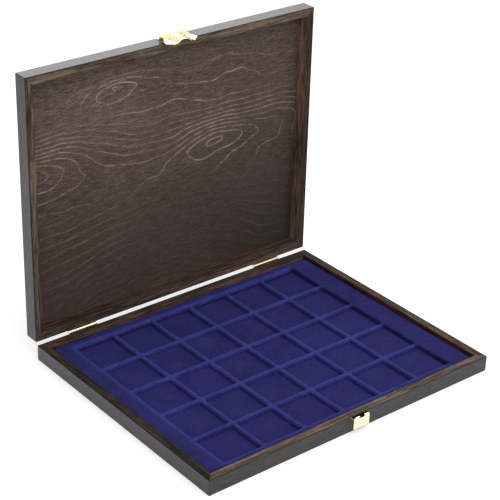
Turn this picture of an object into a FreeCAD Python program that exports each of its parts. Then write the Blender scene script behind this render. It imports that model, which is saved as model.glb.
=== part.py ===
import FreeCAD, Part
import Sketcher
import os

# A wooden presentation case for thirty coins: a shallow box with a lid of the same plan,
# two butt hinges at the back, a sprung clasp at the front and a lift-out velour tray.
# The origin is the centre of the underside, +X runs along the hinges, +Y to the back and
# +Z up. The case stands open, as when it is shown.

# Sizes in millimetres, and the one angle in degrees

SIZES = {
    # case
    "case_length": 305.0,
    "case_width": 245.0,
    "base_height": 14.3,
    "lid_height": 14.5,
    "rim_gap": 0.6,
    "wall": 7.6,
    "panel_thickness": 3.0,
    "panel_lip": 4.0,
    "panel_play": 0.2,
    "edge_round": 0.4,
    "corner_round": 0.6,
    "lid_open_angle": 90.3,
    # tray
    "tray_gap": 0.6,
    "tray_drop": 2.2,
    "tray_sheet": 1.2,
    "tray_corner": 7.0,
    "tray_edge_round": 1.5,
    "side_margin": 20.2,
    "end_margin": 8.8,
    "columns": 6,
    "rows": 5,
    "rib_width": 3.0,
    "rib_round": 1.2,
    "cell_depth": 4.2,
    "cell_corner": 2.5,
    "cell_foot_round": 0.8,
    # hinges
    "hinge_length": 30.0,
    "hinge_inset": 48.0,
    "leaf_height": 10.4,
    "leaf_thickness": 0.8,
    "leaf_corner": 0.8,
    "hinge_pin_radius": 0.8,
    "pin_play": 0.05,
    "knuckle_gap": 0.1,
    "knuckle_relief": 0.3,
    "stop_width": 8.0,
    "stop_reach": 3.4,
    "stop_drop": 2.1,
    "stop_play": 0.12,
    # nails
    "nail_radius": 0.5,
    "nail_play": 0.02,
    "nail_length": 3.8,
    "nail_head_radius": 1.0,
    "nail_head_height": 0.5,
    "hinge_nail_spacing": 20.0,
    "hinge_nail_drop": 7.0,
    "latch_nail_spacing": 10.0,
    "latch_nail_rise": 11.6,
    "catch_nail_spacing": 8.0,
    "catch_nail_rise": 9.5,
    # latch on the lid
    "latch_pin_radius": 1.0,
    "latch_pin_rise": 8.0,
    "latch_pin_stand": 3.0,
    "plate_half_width": 14.0,
    "plate_low": 2.8,
    "plate_high": 12.8,
    "plate_thickness": 0.8,
    "plate_corner": 1.5,
    "ear_start": 9.6,
    "ear_width": 4.2,
    "ear_gap": 0.6,
    # lever
    "lever_sheet": 0.6,
    "lever_stand": 1.1,
    "lever_crease": 1.5,
    "wing_top_half": 12.6,
    "wing_top_rise": 6.0,
    "shoulder_half": 17.0,
    "shoulder_drop": 4.2,
    "wing_foot_half": 11.0,
    "wing_foot_drop": 9.2,
    "wing_round": 1.2,
    "bill_half": 7.5,
    "bill_crown": 4.6,
    "bill_drop": 8.8,
    "bill_root_round": 0.3,
    "slot_rise": 3.4,
    "slot_play": 0.3,
    # catch on the base
    "catch_stand": 5.6,
    "catch_wall": 0.7,
    "catch_back": 0.4,
    "catch_low": 5.8,
    "catch_high": 16.6,
    "catch_bend": 0.6,
    "catch_top_corner": 1.4,
    "notch_mouth_half": 2.6,
    "notch_half": 3.5,
    "notch_lip": 0.8,
    "notch_depth": 2.5,
}

# Shares of the latch barrel's radius where the lever's slope and its bill leave it, the
# part of a corner's radius that a mitre takes, the knuckles of a hinge, and how far a cut
# runs past what it cuts

SLOPE_SIDE = 0.88
SLOPE_DOWN = 0.475
BILL_ROOT_CROWN = 0.72
HALF_DIAGONAL = 0.70710678
KNUCKLES = 5
CUT_SPARE = 5.0
NEAR = 0.001

doc = FreeCAD.newDocument("coin_case")
sheet = doc.addObject("Spreadsheet::Sheet", "Sizes")
for row, alias in enumerate(SIZES, start=1):
    sheet.set("A%d" % row, alias)
    sheet.set("B%d" % row, str(SIZES[alias]))
    sheet.setAlias("B%d" % row, alias)
doc.recompute()


class Size:
    """A size that knows its value and the sheet formula that gives it."""

    def __init__(self, value, text):
        self.value = value
        self.text = text

    def __add__(self, other):
        other = as_size(other)
        return Size(self.value + other.value, "(%s + %s)" % (self.text, other.text))

    def __sub__(self, other):
        other = as_size(other)
        return Size(self.value - other.value, "(%s - %s)" % (self.text, other.text))

    def __mul__(self, other):
        other = as_size(other)
        return Size(self.value * other.value, "(%s * %s)" % (self.text, other.text))

    def __truediv__(self, other):
        other = as_size(other)
        return Size(self.value / other.value, "(%s / %s)" % (self.text, other.text))

    def __neg__(self):
        return self * -1.0


def as_size(number):
    """Any plain number as a size."""
    if isinstance(number, Size):
        return number
    return Size(float(number), repr(float(number)))


def size(alias):
    """The sheet's size of that name."""
    return Size(float(sheet.get(alias)), "Sizes." + alias)


# Sketches

def bind(thing, name, length):
    """Tie a property to the sheet."""
    thing.setExpression(name, as_size(length).text)


def new_sketch(body, name, role, lift=0.0):
    """A sketch on one of the body's own planes, raised along the plane's normal."""
    plane = [f for f in body.Origin.OriginFeatures if f.Role == role][0]
    sketch = body.newObject("Sketcher::SketchObject", name)
    sketch.AttachmentSupport = [(plane, "")]
    sketch.MapMode = "FlatFace"
    bind(sketch, "AttachmentOffset.Base.z", lift)
    return sketch


def fix(sketch, geo, pos, x, y):
    """Hold a point of the sketch at the sizes x and y."""
    for kind, length in (("DistanceX", as_size(x)), ("DistanceY", as_size(y))):
        index = sketch.addConstraint(Sketcher.Constraint(kind, geo, pos, length.value))
        sketch.setExpression("Constraints[%d]" % index, length.text)


def arc_between(first, last, radius, turn):
    """The short arc from first to last that turns left or right, and whether it was swapped."""
    chord = last - first
    middle = (first + last) * 0.5
    across = FreeCAD.Vector(-chord.y, chord.x, 0)
    across.normalize()
    rise = max(radius ** 2 - (chord.Length * 0.5) ** 2, 0.0) ** 0.5
    centre = middle + across * (rise if turn == "left" else -rise)
    circle = Part.Circle(centre, FreeCAD.Vector(0, 0, 1), radius)
    start, end = (first, last) if turn == "left" else (last, first)
    arc = Part.ArcOfCircle(circle, circle.parameter(start), circle.parameter(end))
    return arc, turn != "left"


def outline(sketch, corners):
    """A closed outline. A corner is (x, y), or (x, y, radius, turn) if an arc leaves it."""
    points = [FreeCAD.Vector(as_size(c[0]).value, as_size(c[1]).value, 0) for c in corners]
    starts = []
    ends = []
    for index, corner in enumerate(corners):
        here = points[index]
        there = points[(index + 1) % len(points)]
        if len(corner) == 2:
            geo = sketch.addGeometry(Part.LineSegment(here, there))
            starts.append((geo, 1))
            ends.append((geo, 2))
            continue
        arc, swapped = arc_between(here, there, as_size(corner[2]).value, corner[3])
        geo = sketch.addGeometry(arc)
        bend = sketch.addConstraint(Sketcher.Constraint("Radius", geo, arc.Radius))
        sketch.setExpression("Constraints[%d]" % bend, as_size(corner[2]).text)
        starts.append((geo, 2 if swapped else 1))
        ends.append((geo, 1 if swapped else 2))
    for index in range(len(corners)):
        sketch.addConstraint(
            Sketcher.Constraint("Coincident", *ends[index - 1], *starts[index]))
    for index, corner in enumerate(corners):
        fix(sketch, *starts[index], corner[0], corner[1])


def rectangle(sketch, left, right, low, high):
    """A plain rectangle."""
    outline(sketch, [(left, low), (right, low), (right, high), (left, high)])


def rounded_rectangle(sketch, left, right, low, high, bend):
    """A rectangle with four equal round corners."""
    outline(sketch, [
        (left + bend, low), (right - bend, low, bend, "left"),
        (right, low + bend), (right, high - bend, bend, "left"),
        (right - bend, high), (left + bend, high, bend, "left"),
        (left, high - bend), (left, low + bend, bend, "left")])


def circle(sketch, x, y, radius):
    """A circle about the point x, y."""
    centre = FreeCAD.Vector(as_size(x).value, as_size(y).value, 0)
    geo = sketch.addGeometry(Part.Circle(centre, FreeCAD.Vector(0, 0, 1), radius.value))
    fix(sketch, geo, 3, x, y)
    index = sketch.addConstraint(Sketcher.Constraint("Radius", geo, radius.value))
    sketch.setExpression("Constraints[%d]" % index, radius.text)


# Features

def new_body(label):
    """An empty body of that name."""
    body = doc.addObject("PartDesign::Body", label)
    body.Label = label
    return body


def settle(feature):
    """Work out the feature and stop if it failed."""
    doc.recompute()
    if "Invalid" in feature.State or "Error" in feature.State:
        raise RuntimeError(feature.Name + " failed")
    return feature


def pad(body, sketch, length, middle=False):
    """Raise the sketch into a solid, one way or to both sides."""
    feature = body.newObject("PartDesign::Pad", sketch.Name + "_pad")
    feature.Profile = sketch
    if middle:
        feature.SideType = "Symmetric"
    bind(feature, "Length", length)
    return settle(feature)


def pocket(body, sketch, depth, middle=False, onward=False):
    """Cut the sketch into the body, against its normal, onward along it, or both ways."""
    before = body.Shape.Volume
    feature = body.newObject("PartDesign::Pocket", sketch.Name + "_cut")
    feature.Profile = sketch
    if middle:
        feature.SideType = "Symmetric"
    feature.Reversed = onward
    bind(feature, "Length", depth)
    settle(feature)
    if not body.Shape.Volume < before - NEAR:
        raise RuntimeError(sketch.Name + " cuts nothing")
    return feature


def soften(body, name, radius, wanted):
    """Round each edge of the body for which wanted is true."""
    base = body.Tip
    names = []
    for number, edge in enumerate(base.Shape.Edges, start=1):
        if wanted(edge):
            names.append("Edge%d" % number)
    if not names:
        raise RuntimeError(name + " finds no edge")
    feature = body.newObject("PartDesign::Fillet", name)
    feature.Base = (base, names)
    bind(feature, "Radius", radius)
    return settle(feature)


def same(first, second):
    """Whether two lengths are equal."""
    return abs(first - second) < NEAR


def level(edge, axis, place):
    """Whether the whole edge lies at that place along the axis."""
    box = edge.BoundBox
    low = getattr(box, axis + "Min")
    high = getattr(box, axis + "Max")
    return same(low, place.value) and same(high, place.value)


def upright(edge, axis):
    """Whether the edge is a straight line along the axis."""
    box = edge.BoundBox
    others = [a for a in ("X", "Y", "Z") if a != axis]
    flat = all(getattr(box, a + "Length") < NEAR for a in others)
    return flat and getattr(box, axis + "Length") > NEAR


def mitre_line(edge):
    """Whether the edge runs along a mitre, straight and at 45 degrees."""
    box = edge.BoundBox
    straight = edge.Curve.TypeId == "Part::GeomLine"
    return straight and box.XLength > NEAR and box.YLength > NEAR


# Places that several pieces share

half_length = size("case_length") / 2
half_width = size("case_width") / 2
hinge_centre = half_length - size("hinge_inset")
barrel = size("hinge_pin_radius") + size("pin_play") + size("leaf_thickness")
hinge_y = half_width + barrel
hinge_z = size("base_height") + size("rim_gap") / 2
lid_rim = size("rim_gap") / 2
lid_top = lid_rim + size("lid_height")
lid_back = -barrel
lid_front = -(barrel + size("case_width"))
lid_middle = -(barrel + half_width)
latch_barrel = size("latch_pin_radius") + size("pin_play") + size("plate_thickness")

open_turn = FreeCAD.Rotation(FreeCAD.Vector(-1, 0, 0), size("lid_open_angle").value)
lid_frame = FreeCAD.Placement(FreeCAD.Vector(0, hinge_y.value, hinge_z.value), open_turn)


def moved(x, y, z):
    """A placement that only moves."""
    spot = FreeCAD.Vector(as_size(x).value, as_size(y).value, as_size(z).value)
    return FreeCAD.Placement(spot, FreeCAD.Rotation())


latch_y = lid_front - size("latch_pin_stand")
latch_z = lid_rim + size("latch_pin_rise")
latch_frame = lid_frame.multiply(moved(0, latch_y, latch_z))


def nail_spots(spacing, centre=0.0):
    """Where two nails stand beside a centre."""
    centre = as_size(centre)
    return [centre - spacing / 2, centre + spacing / 2]


def drill_nails(body, name, spots, height, lift, depth, onward=False):
    """Nail holes in a body, drilled from the plane at that lift."""
    sketch = new_sketch(body, name, "XZ_Plane", lift)
    for spot in spots:
        circle(sketch, spot, height, size("nail_radius") + size("nail_play"))
    return pocket(body, sketch, depth, onward=onward)


# Frame rails

def turned(side, along, across):
    """A plan point of the front rail, turned to another side."""
    return {
        "front": (along, -across),
        "back": (-along, across),
        "left": (-across, -along),
        "right": (across, along),
    }[side]


def rail(label, side, middle, low, rim_up):
    """A mitred rail with round outer edges and a rebate for the panel."""
    body = new_body(label)
    long_side = side in ("front", "back")
    end = half_length if long_side else half_width
    face = half_width if long_side else half_length
    wall = size("wall")
    bend = size("corner_round")
    part = bend * HALF_DIAGONAL
    height = size("base_height") if rim_up else size("lid_height")
    plan = [
        (-end + bend, face), (end - bend, face, bend, "left"),
        (end - bend + part, face - bend + part), (end - wall, face - wall),
        (-end + wall, face - wall), (-end + bend - part, face - bend + part, bend, "left")]
    corners = []
    for corner in plan:
        x, y = turned(side, corner[0], corner[1])
        corners.append((x, y + middle) + tuple(corner[2:]))
    sketch = new_sketch(body, label + "_plan", "XY_Plane", low)
    outline(sketch, corners)
    pad(body, sketch, height)
    high = low + height
    rim = high if rim_up else low
    foot = low if rim_up else high

    def inner(edge):
        x, y = turned(side, 0.0, 1.0)
        box = edge.BoundBox
        reach = box.Center.x * x + (box.Center.y - middle.value) * y
        return same(reach, face.value - wall.value)

    soften(body, label + "_rim_round", size("edge_round"),
           lambda edge: level(edge, "Z", rim) and not mitre_line(edge))
    soften(body, label + "_foot_round", size("edge_round"),
           lambda edge: level(edge, "Z", foot) and not mitre_line(edge) and not inner(edge))
    lip = size("panel_lip") - wall
    rebate = new_sketch(body, label + "_rebate", "XY_Plane", foot)
    rectangle(rebate, -(half_length + lip), half_length + lip,
              middle - (half_width + lip), middle + half_width + lip)
    pocket(body, rebate, size("panel_thickness"), onward=rim_up)
    return body


def panel(label, middle, low):
    """The flat board let into the rails."""
    body = new_body(label)
    reach = size("panel_lip") - size("wall") - size("panel_play")
    sketch = new_sketch(body, label + "_plan", "XY_Plane", low)
    rectangle(sketch, -(half_length + reach), half_length + reach,
              middle - (half_width + reach), middle + half_width + reach)
    pad(body, sketch, size("panel_thickness"))
    return body


zero = as_size(0.0)
ground = zero
parts = {}
for side in ("front", "back", "left", "right"):
    base_rail = rail("base_%s_rail" % side, side, zero, ground, True)
    lid_rail = rail("lid_%s_rail" % side, side, lid_middle, lid_rim, False)
    lid_rail.Placement = lid_frame
    parts[base_rail.Label] = base_rail
    parts[lid_rail.Label] = lid_rail
parts["base_panel"] = panel("base_panel", zero, ground)
parts["lid_panel"] = panel("lid_panel", lid_middle, lid_top - size("panel_thickness"))
parts["lid_panel"].Placement = lid_frame

hinge_spots = []
for centre in (-hinge_centre, hinge_centre):
    hinge_spots += nail_spots(size("hinge_nail_spacing"), centre)
drill_nails(parts["base_back_rail"], "base_hinge_holes", hinge_spots,
            hinge_z - size("hinge_nail_drop"), -half_width, size("nail_length"), True)
drill_nails(parts["lid_back_rail"], "lid_hinge_holes", hinge_spots,
            size("hinge_nail_drop"), -lid_back, size("nail_length"), True)
latch_spots = nail_spots(size("latch_nail_spacing"))
drill_nails(parts["lid_front_rail"], "latch_holes", latch_spots,
            lid_rim + size("latch_nail_rise"), -lid_front, size("nail_length"))
catch_spots = nail_spots(size("catch_nail_spacing"))
drill_nails(parts["base_front_rail"], "catch_holes", catch_spots,
            size("catch_nail_rise"), half_width, size("nail_length"))


# Tray: one formed sheet with a flat margin, square compartments and a hollow underside

def make_tray():
    """The velour-covered tray."""
    body = new_body("coin_tray")
    half_x = half_length - size("wall") - size("tray_gap")
    half_y = half_width - size("wall") - size("tray_gap")
    low = size("panel_thickness")
    top = size("base_height") - size("tray_drop")
    floor = top - size("cell_depth")
    sheet_wall = size("tray_sheet")
    outer = new_sketch(body, "tray_plan", "XY_Plane", low)
    rounded_rectangle(outer, -half_x, half_x, -half_y, half_y, size("tray_corner"))
    pad(body, outer, top - low)
    soften(body, "tray_edge", size("tray_edge_round"), lambda edge: level(edge, "Z", top))

    field_x = half_x - size("side_margin")
    field_y = half_y - size("end_margin")
    rib = size("rib_width")
    pitch_x = (field_x * 2 + rib) / size("columns")
    pitch_y = (field_y * 2 + rib) / size("rows")
    cell = new_sketch(body, "cell_plan", "XY_Plane", top)
    rounded_rectangle(cell, -field_x, -field_x + pitch_x - rib,
                      -field_y, -field_y + pitch_y - rib, size("cell_corner"))
    cut = pocket(body, cell, size("cell_depth"))
    grid = body.newObject("PartDesign::LinearPattern", "cell_grid")
    grid.Originals = [cut]
    grid.Direction = (cell, ["H_Axis"])
    grid.Direction2 = (cell, ["V_Axis"])
    grid.Mode = "Extent"
    grid.Mode2 = "Extent"
    bind(grid, "Length", pitch_x * (size("columns") - 1))
    bind(grid, "Length2", pitch_y * (size("rows") - 1))
    bind(grid, "Occurrences", size("columns"))
    bind(grid, "Occurrences2", size("rows"))
    body.Tip = grid
    doc.recompute()

    def in_field(edge):
        box = edge.BoundBox
        return abs(box.Center.x) < field_x.value + NEAR and abs(box.Center.y) < field_y.value + NEAR

    soften(body, "rib_round", size("rib_round"),
           lambda edge: level(edge, "Z", top) and in_field(edge))
    soften(body, "cell_foot", size("cell_foot_round"),
           lambda edge: level(edge, "Z", floor) and in_field(edge))

    under = new_sketch(body, "tray_hollow", "XY_Plane", low)
    rectangle(under, -half_x + sheet_wall, half_x - sheet_wall,
              -half_y + sheet_wall, half_y - sheet_wall)
    pocket(body, under, floor - sheet_wall - low, onward=True)
    margin = new_sketch(body, "margin_hollow", "XY_Plane", floor - sheet_wall)
    rectangle(margin, -half_x + sheet_wall, half_x - sheet_wall,
              -half_y + sheet_wall, half_y - sheet_wall)
    rectangle(margin, -field_x - sheet_wall, field_x + sheet_wall,
              -field_y - sheet_wall, field_y + sheet_wall)
    pocket(body, margin, size("cell_depth"), onward=True)
    return body


parts["coin_tray"] = make_tray()


# Hinges: two leaves with rolled knuckles on one pin, and a bent lug that stops the lid

def knuckle_cuts(body, name, first, strip_low, strip_high):
    """Cut every second knuckle away, to leave room for the other leaf's."""
    pitch = size("hinge_length") / KNUCKLES
    gap = size("knuckle_gap") / 2
    sketch = new_sketch(body, name, "XZ_Plane", barrel + CUT_SPARE)
    for number in range(first, KNUCKLES, 2):
        left = -(size("hinge_length") / 2) + pitch * float(number) - gap
        right = left + pitch + gap * 2
        if number == 0:
            left = left - CUT_SPARE
        if number == KNUCKLES - 1:
            right = right + CUT_SPARE
        rectangle(sketch, left, right, strip_low, strip_high)
    pocket(body, sketch, barrel * 2 + CUT_SPARE * 2)


def leaf(label, upward):
    """One hinge leaf about its own axis: the plate on the wood and its knuckles."""
    body = new_body(label)
    near_z = barrel + size("knuckle_relief")
    low = zero if upward else -size("leaf_height")
    high = size("leaf_height") if upward else zero
    plate = new_sketch(body, label + "_plate", "XZ_Plane", barrel - size("leaf_thickness"))
    half = size("hinge_length") / 2
    rectangle(plate, -half, half, low, high)
    pad(body, plate, size("leaf_thickness"))
    far = high if upward else low
    soften(body, label + "_corners", size("leaf_corner"),
           lambda edge: upright(edge, "Y") and level(edge, "Z", far))
    roll = new_sketch(body, label + "_roll", "YZ_Plane")
    circle(roll, 0.0, 0.0, barrel)
    pad(body, roll, size("hinge_length"), middle=True)
    bore = new_sketch(body, label + "_bore", "YZ_Plane")
    circle(bore, 0.0, 0.0, size("hinge_pin_radius") + size("pin_play"))
    pocket(body, bore, size("hinge_length") + CUT_SPARE, middle=True)
    if upward:
        knuckle_cuts(body, label + "_gaps", 0, -near_z, near_z)
    else:
        knuckle_cuts(body, label + "_gaps", 1, -near_z, near_z)
    drop = size("hinge_nail_drop")
    drill_nails(body, label + "_holes", nail_spots(size("hinge_nail_spacing")),
                drop if upward else -drop, barrel + CUT_SPARE, barrel + CUT_SPARE)
    return body


def add_stop(body):
    """The bent lug of the base leaf, just under the open lid's leaf."""
    thick = size("leaf_thickness")
    inner = -(barrel - thick)
    reach = size("stop_reach")
    under = -size("stop_drop")
    top = barrel - thick - size("stop_play")
    lug = new_sketch(body, body.Label + "_stop", "YZ_Plane")
    outline(lug, [
        (inner - thick / 2, under - thick), (reach, under - thick), (reach, top),
        (reach - thick, top), (reach - thick, under), (inner - thick / 2, under)])
    pad(body, lug, size("stop_width"), middle=True)


def pin(label, radius, half, frame):
    """A plain pin with softened ends."""
    body = new_body(label)
    round_end = new_sketch(body, label + "_section", "YZ_Plane")
    circle(round_end, 0.0, 0.0, radius)
    pad(body, round_end, half * 2, middle=True)
    soften(body, label + "_ends", radius / 3, lambda edge: level(edge, "X", half)
           or level(edge, "X", -half))
    body.Placement = frame
    return body


for name, centre in (("left", -hinge_centre), ("right", hinge_centre)):
    base_place = moved(centre, hinge_y, hinge_z)
    base_leaf = leaf(name + "_hinge_base_leaf", False)
    add_stop(base_leaf)
    base_leaf.Placement = base_place
    parts[base_leaf.Label] = base_leaf
    lid_leaf = leaf(name + "_hinge_lid_leaf", True)
    lid_leaf.Placement = lid_frame.multiply(moved(centre, 0, 0))
    parts[lid_leaf.Label] = lid_leaf
    hinge_pin = pin(name + "_hinge_pin", size("hinge_pin_radius"),
                    size("hinge_length") / 2, base_place)
    parts[hinge_pin.Label] = hinge_pin


# Nails

def nails(label, spots, height, seat, outward, frame=None):
    """Round-headed nails through a plate whose outer face is at seat."""
    body = new_body(label)
    length = size("nail_length")
    head = size("nail_head_height")
    way = 1.0 if outward == "front" else -1.0
    shank = new_sketch(body, label + "_shanks", "XZ_Plane", seat - length * way)
    for spot in spots:
        circle(shank, spot, height, size("nail_radius"))
    shafts = pad(body, shank, length)
    shafts.Reversed = outward == "back"
    doc.recompute()
    cap = new_sketch(body, label + "_heads", "XZ_Plane", seat)
    for spot in spots:
        circle(cap, spot, height, size("nail_head_radius"))
    heads = pad(body, cap, head)
    heads.Reversed = outward == "back"
    doc.recompute()
    outer = -(seat + head * way)
    soften(body, label + "_domes", head * 0.8, lambda edge: level(edge, "Y", outer))
    if frame:
        body.Placement = frame
    return body


parts["base_hinge_nails"] = nails(
    "base_hinge_nails", hinge_spots, hinge_z - size("hinge_nail_drop"),
    -(half_width + size("leaf_thickness")), "back")
parts["lid_hinge_nails"] = nails(
    "lid_hinge_nails", hinge_spots, size("hinge_nail_drop"),
    barrel - size("leaf_thickness"), "back", lid_frame)
parts["latch_nails"] = nails(
    "latch_nails", latch_spots, lid_rim + size("latch_nail_rise"),
    size("plate_thickness") - lid_front, "front", lid_frame)
parts["catch_nails"] = nails(
    "catch_nails", catch_spots, size("catch_nail_rise"),
    half_width + size("catch_back"), "front")


# Latch plate, with two ears rolled round the pin

def make_latch_plate():
    """The plate on the lid's front, about the latch pin's axis."""
    body = new_body("latch_plate")
    stand = size("latch_pin_stand")
    thick = size("plate_thickness")
    low = size("plate_low") - size("latch_pin_rise")
    high = size("plate_high") - size("latch_pin_rise")
    half = size("plate_half_width")
    flat = new_sketch(body, "latch_flat", "XZ_Plane", -stand)
    rounded_rectangle(flat, -half, half, low, high, size("plate_corner"))
    pad(body, flat, thick)
    ring = size("ear_start")
    for name, lift in (("left_ear", -ring - size("ear_width")), ("right_ear", ring)):
        curl = new_sketch(body, name, "YZ_Plane", lift)
        circle(curl, 0.0, 0.0, latch_barrel)
        pad(body, curl, size("ear_width"))
        web = new_sketch(body, name + "_web", "YZ_Plane", lift)
        rectangle(web, 0.0, stand - thick / 2, latch_barrel - thick, latch_barrel)
        pad(body, web, size("ear_width"))
    bore = new_sketch(body, "ear_bore", "YZ_Plane")
    circle(bore, 0.0, 0.0, size("latch_pin_radius") + size("pin_play"))
    pocket(body, bore, (ring + size("ear_width")) * 2 + CUT_SPARE, middle=True)
    rise = size("latch_nail_rise") - size("latch_pin_rise")
    drill_nails(body, "latch_plate_holes", latch_spots, rise, zero, stand + CUT_SPARE)
    body.Placement = latch_frame
    return body


# Latch lever: a barrel, two flat wings and a vaulted bill between two slots

def crescent(sketch, half, foot, crown, wall):
    """The bill's section: an arch of even wall that bulges to the front from two feet."""
    height = crown - foot
    inner_half = half - wall
    inner_height = height - wall
    outer_bend = (half * half + height * height) / (height * 2)
    inner_bend = (inner_half * inner_half + inner_height * inner_height) / (inner_height * 2)
    outline(sketch, [
        (-half, -foot, outer_bend, "left"), (half, -foot),
        (inner_half, -foot, inner_bend, "right"), (-inner_half, -foot)])


def make_lever():
    """The sprung lever, about the latch pin's axis."""
    body = new_body("latch_lever")
    stand = size("latch_pin_stand")
    wall = size("lever_sheet")
    rise = size("latch_pin_rise")
    inside = stand - size("lever_stand")
    outside = inside - wall
    crease = size("lever_crease") - rise
    foot = -size("wing_foot_drop") - rise
    shoulder = -size("shoulder_drop") - rise
    slope_y = -latch_barrel * SLOPE_SIDE
    slope_z = -latch_barrel * SLOPE_DOWN
    deep_y = -(latch_barrel - wall) * SLOPE_SIDE
    deep_z = -(latch_barrel - wall) * SLOPE_DOWN
    fold = new_sketch(body, "lever_fold", "YZ_Plane")
    outline(fold, [
        (slope_y, slope_z), (outside, crease), (outside, foot), (inside, foot),
        (inside, crease - wall / 2), (deep_y, deep_z)])
    pad(body, fold, size("shoulder_half") * 2, middle=True)

    trim = new_sketch(body, "lever_trim", "XZ_Plane", stand + CUT_SPARE)
    barrel_half = size("ear_start") - size("ear_gap")
    spare_half = size("shoulder_half") + CUT_SPARE
    rectangle(trim, -spare_half, spare_half, foot - CUT_SPARE, CUT_SPARE)
    top = size("wing_top_rise") - rise
    outline(trim, [
        (barrel_half, 0.0), (-barrel_half, 0.0), (-barrel_half, top),
        (-size("wing_top_half"), top), (-size("shoulder_half"), shoulder),
        (-size("wing_foot_half"), foot), (size("wing_foot_half"), foot),
        (size("shoulder_half"), shoulder), (size("wing_top_half"), top),
        (barrel_half, top)])
    pocket(body, trim, stand * 2 + CUT_SPARE * 2)
    soften(body, "wing_corners", size("wing_round"),
           lambda edge: upright(edge, "Y") and edge.BoundBox.ZMax < top.value + NEAR
           and abs(edge.BoundBox.XMax) > size("wing_foot_half").value - NEAR)

    bill_half = size("bill_half")
    slot_half = bill_half + size("slot_play") * 2 + size("catch_wall")
    mouth = new_sketch(body, "lever_slots", "XZ_Plane", stand + CUT_SPARE)
    slot_top = size("slot_rise") - rise
    core = bill_half - wall
    outline(mouth, [
        (-slot_half, foot - CUT_SPARE), (slot_half, foot - CUT_SPARE), (slot_half, slot_top),
        (core, slot_top), (core, -latch_barrel), (-core, -latch_barrel),
        (-core, slot_top), (-slot_half, slot_top)])
    pocket(body, mouth, stand * 2 + CUT_SPARE * 2)

    roll = new_sketch(body, "lever_roll", "YZ_Plane")
    circle(roll, 0.0, 0.0, latch_barrel)
    pad(body, roll, barrel_half * 2, middle=True)

    crown = size("bill_crown") - stand
    low_foot = -inside
    full = crease - wall
    root_z = -(latch_barrel - wall)
    root_crown = latch_barrel * BILL_ROOT_CROWN
    root = new_sketch(body, "bill_root", "XY_Plane", root_z)
    crescent(root, bill_half, root_crown - size("lever_sheet") - size("bill_root_round"),
             root_crown, wall)
    arch = new_sketch(body, "bill_arch", "XY_Plane", full)
    crescent(arch, bill_half, low_foot, crown, wall)
    swell = body.newObject("PartDesign::AdditiveLoft", "bill_swell")
    swell.Profile = root
    swell.Sections = [arch]
    swell.Ruled = True
    doc.recompute()
    vault = new_sketch(body, "bill_vault", "XY_Plane", full)
    crescent(vault, bill_half, low_foot, crown, wall)
    run = pad(body, vault, full + rise + size("bill_drop"))
    run.Reversed = True
    doc.recompute()

    bore = new_sketch(body, "lever_bore", "YZ_Plane")
    circle(bore, 0.0, 0.0, size("latch_pin_radius") + size("pin_play"))
    pocket(body, bore, barrel_half * 2 + CUT_SPARE, middle=True)
    body.Placement = latch_frame
    return body


parts["latch_plate"] = make_latch_plate()
parts["latch_lever"] = make_lever()
parts["latch_pin"] = pin("latch_pin", size("latch_pin_radius"),
                         size("ear_start") + size("ear_width") + size("pin_play"), latch_frame)


# Catch on the base: a bent box, open at the top and bottom

def make_catch():
    """The stirrup that the bill drops into."""
    body = new_body("catch_box")
    low = size("catch_low")
    high = size("catch_high")
    wall = size("catch_wall")
    inner_half = size("bill_half") + size("slot_play")
    outer_half = inner_half + wall
    face = -half_width
    front = face - size("catch_stand")
    block = new_sketch(body, "catch_plan", "XY_Plane", low)
    rectangle(block, -outer_half, outer_half, front, face)
    pad(body, block, high - low)
    soften(body, "catch_bends", size("catch_bend"),
           lambda edge: upright(edge, "Z") and level(edge, "Y", front))
    hollow = new_sketch(body, "catch_hollow", "XY_Plane", high)
    rectangle(hollow, -inner_half, inner_half, front + wall, face - size("catch_back"))
    pocket(body, hollow, high - low + CUT_SPARE)
    relief = new_sketch(body, "catch_relief", "XY_Plane", high)
    rectangle(relief, -outer_half - CUT_SPARE, outer_half + CUT_SPARE,
              face - size("catch_back"), face + CUT_SPARE)
    pocket(body, relief, high - size("base_height"))
    corner = size("catch_top_corner")
    trims = new_sketch(body, "catch_top_corners", "XZ_Plane",
                       half_width + size("catch_stand") + CUT_SPARE)
    for way in (-1.0, 1.0):
        outline(trims, [
            ((outer_half - corner) * way, high), (outer_half * way, high - corner),
            ((outer_half + CUT_SPARE) * way, high - corner),
            ((outer_half + CUT_SPARE) * way, high + CUT_SPARE),
            ((outer_half - corner) * way, high + CUT_SPARE)])
    pocket(body, trims, size("catch_stand") + CUT_SPARE * 2)
    notch = new_sketch(body, "catch_notch", "XZ_Plane", half_width + size("catch_stand") + CUT_SPARE)
    lip = high - size("notch_lip")
    deep = high - size("notch_depth")
    bend = size("notch_depth") - size("notch_lip")
    mouth_half = size("notch_mouth_half")
    wide = size("notch_half")
    outline(notch, [
        (mouth_half, high + CUT_SPARE), (-mouth_half, high + CUT_SPARE), (-mouth_half, lip),
        (-wide, lip, bend, "left"), (-wide + bend, deep), (wide - bend, deep, bend, "left"),
        (wide, lip), (mouth_half, lip)])
    pocket(body, notch, wall + CUT_SPARE)
    drill_nails(body, "catch_box_holes", catch_spots, size("catch_nail_rise"),
                half_width + size("catch_back") + size("nail_head_height"),
                size("catch_back") * 2 + size("nail_head_height"))
    return body


parts["catch_box"] = make_catch()


# Check and export

doc.recompute()
for thing in doc.Objects:
    for state in thing.State:
        if state in ("Invalid", "Error"):
            raise RuntimeError("%s is %s" % (thing.Name, state))
os.makedirs("parts", exist_ok=True)
for label, body in parts.items():
    shape = body.Shape
    if shape.isNull() or not shape.isValid() or not shape.Solids:
        raise RuntimeError(label + " has no valid solid")
    print("%s %d solids %.1f mm3" % (label, len(shape.Solids), shape.Volume))
    shape.exportStep(os.path.join("parts", label + ".step"))
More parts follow.
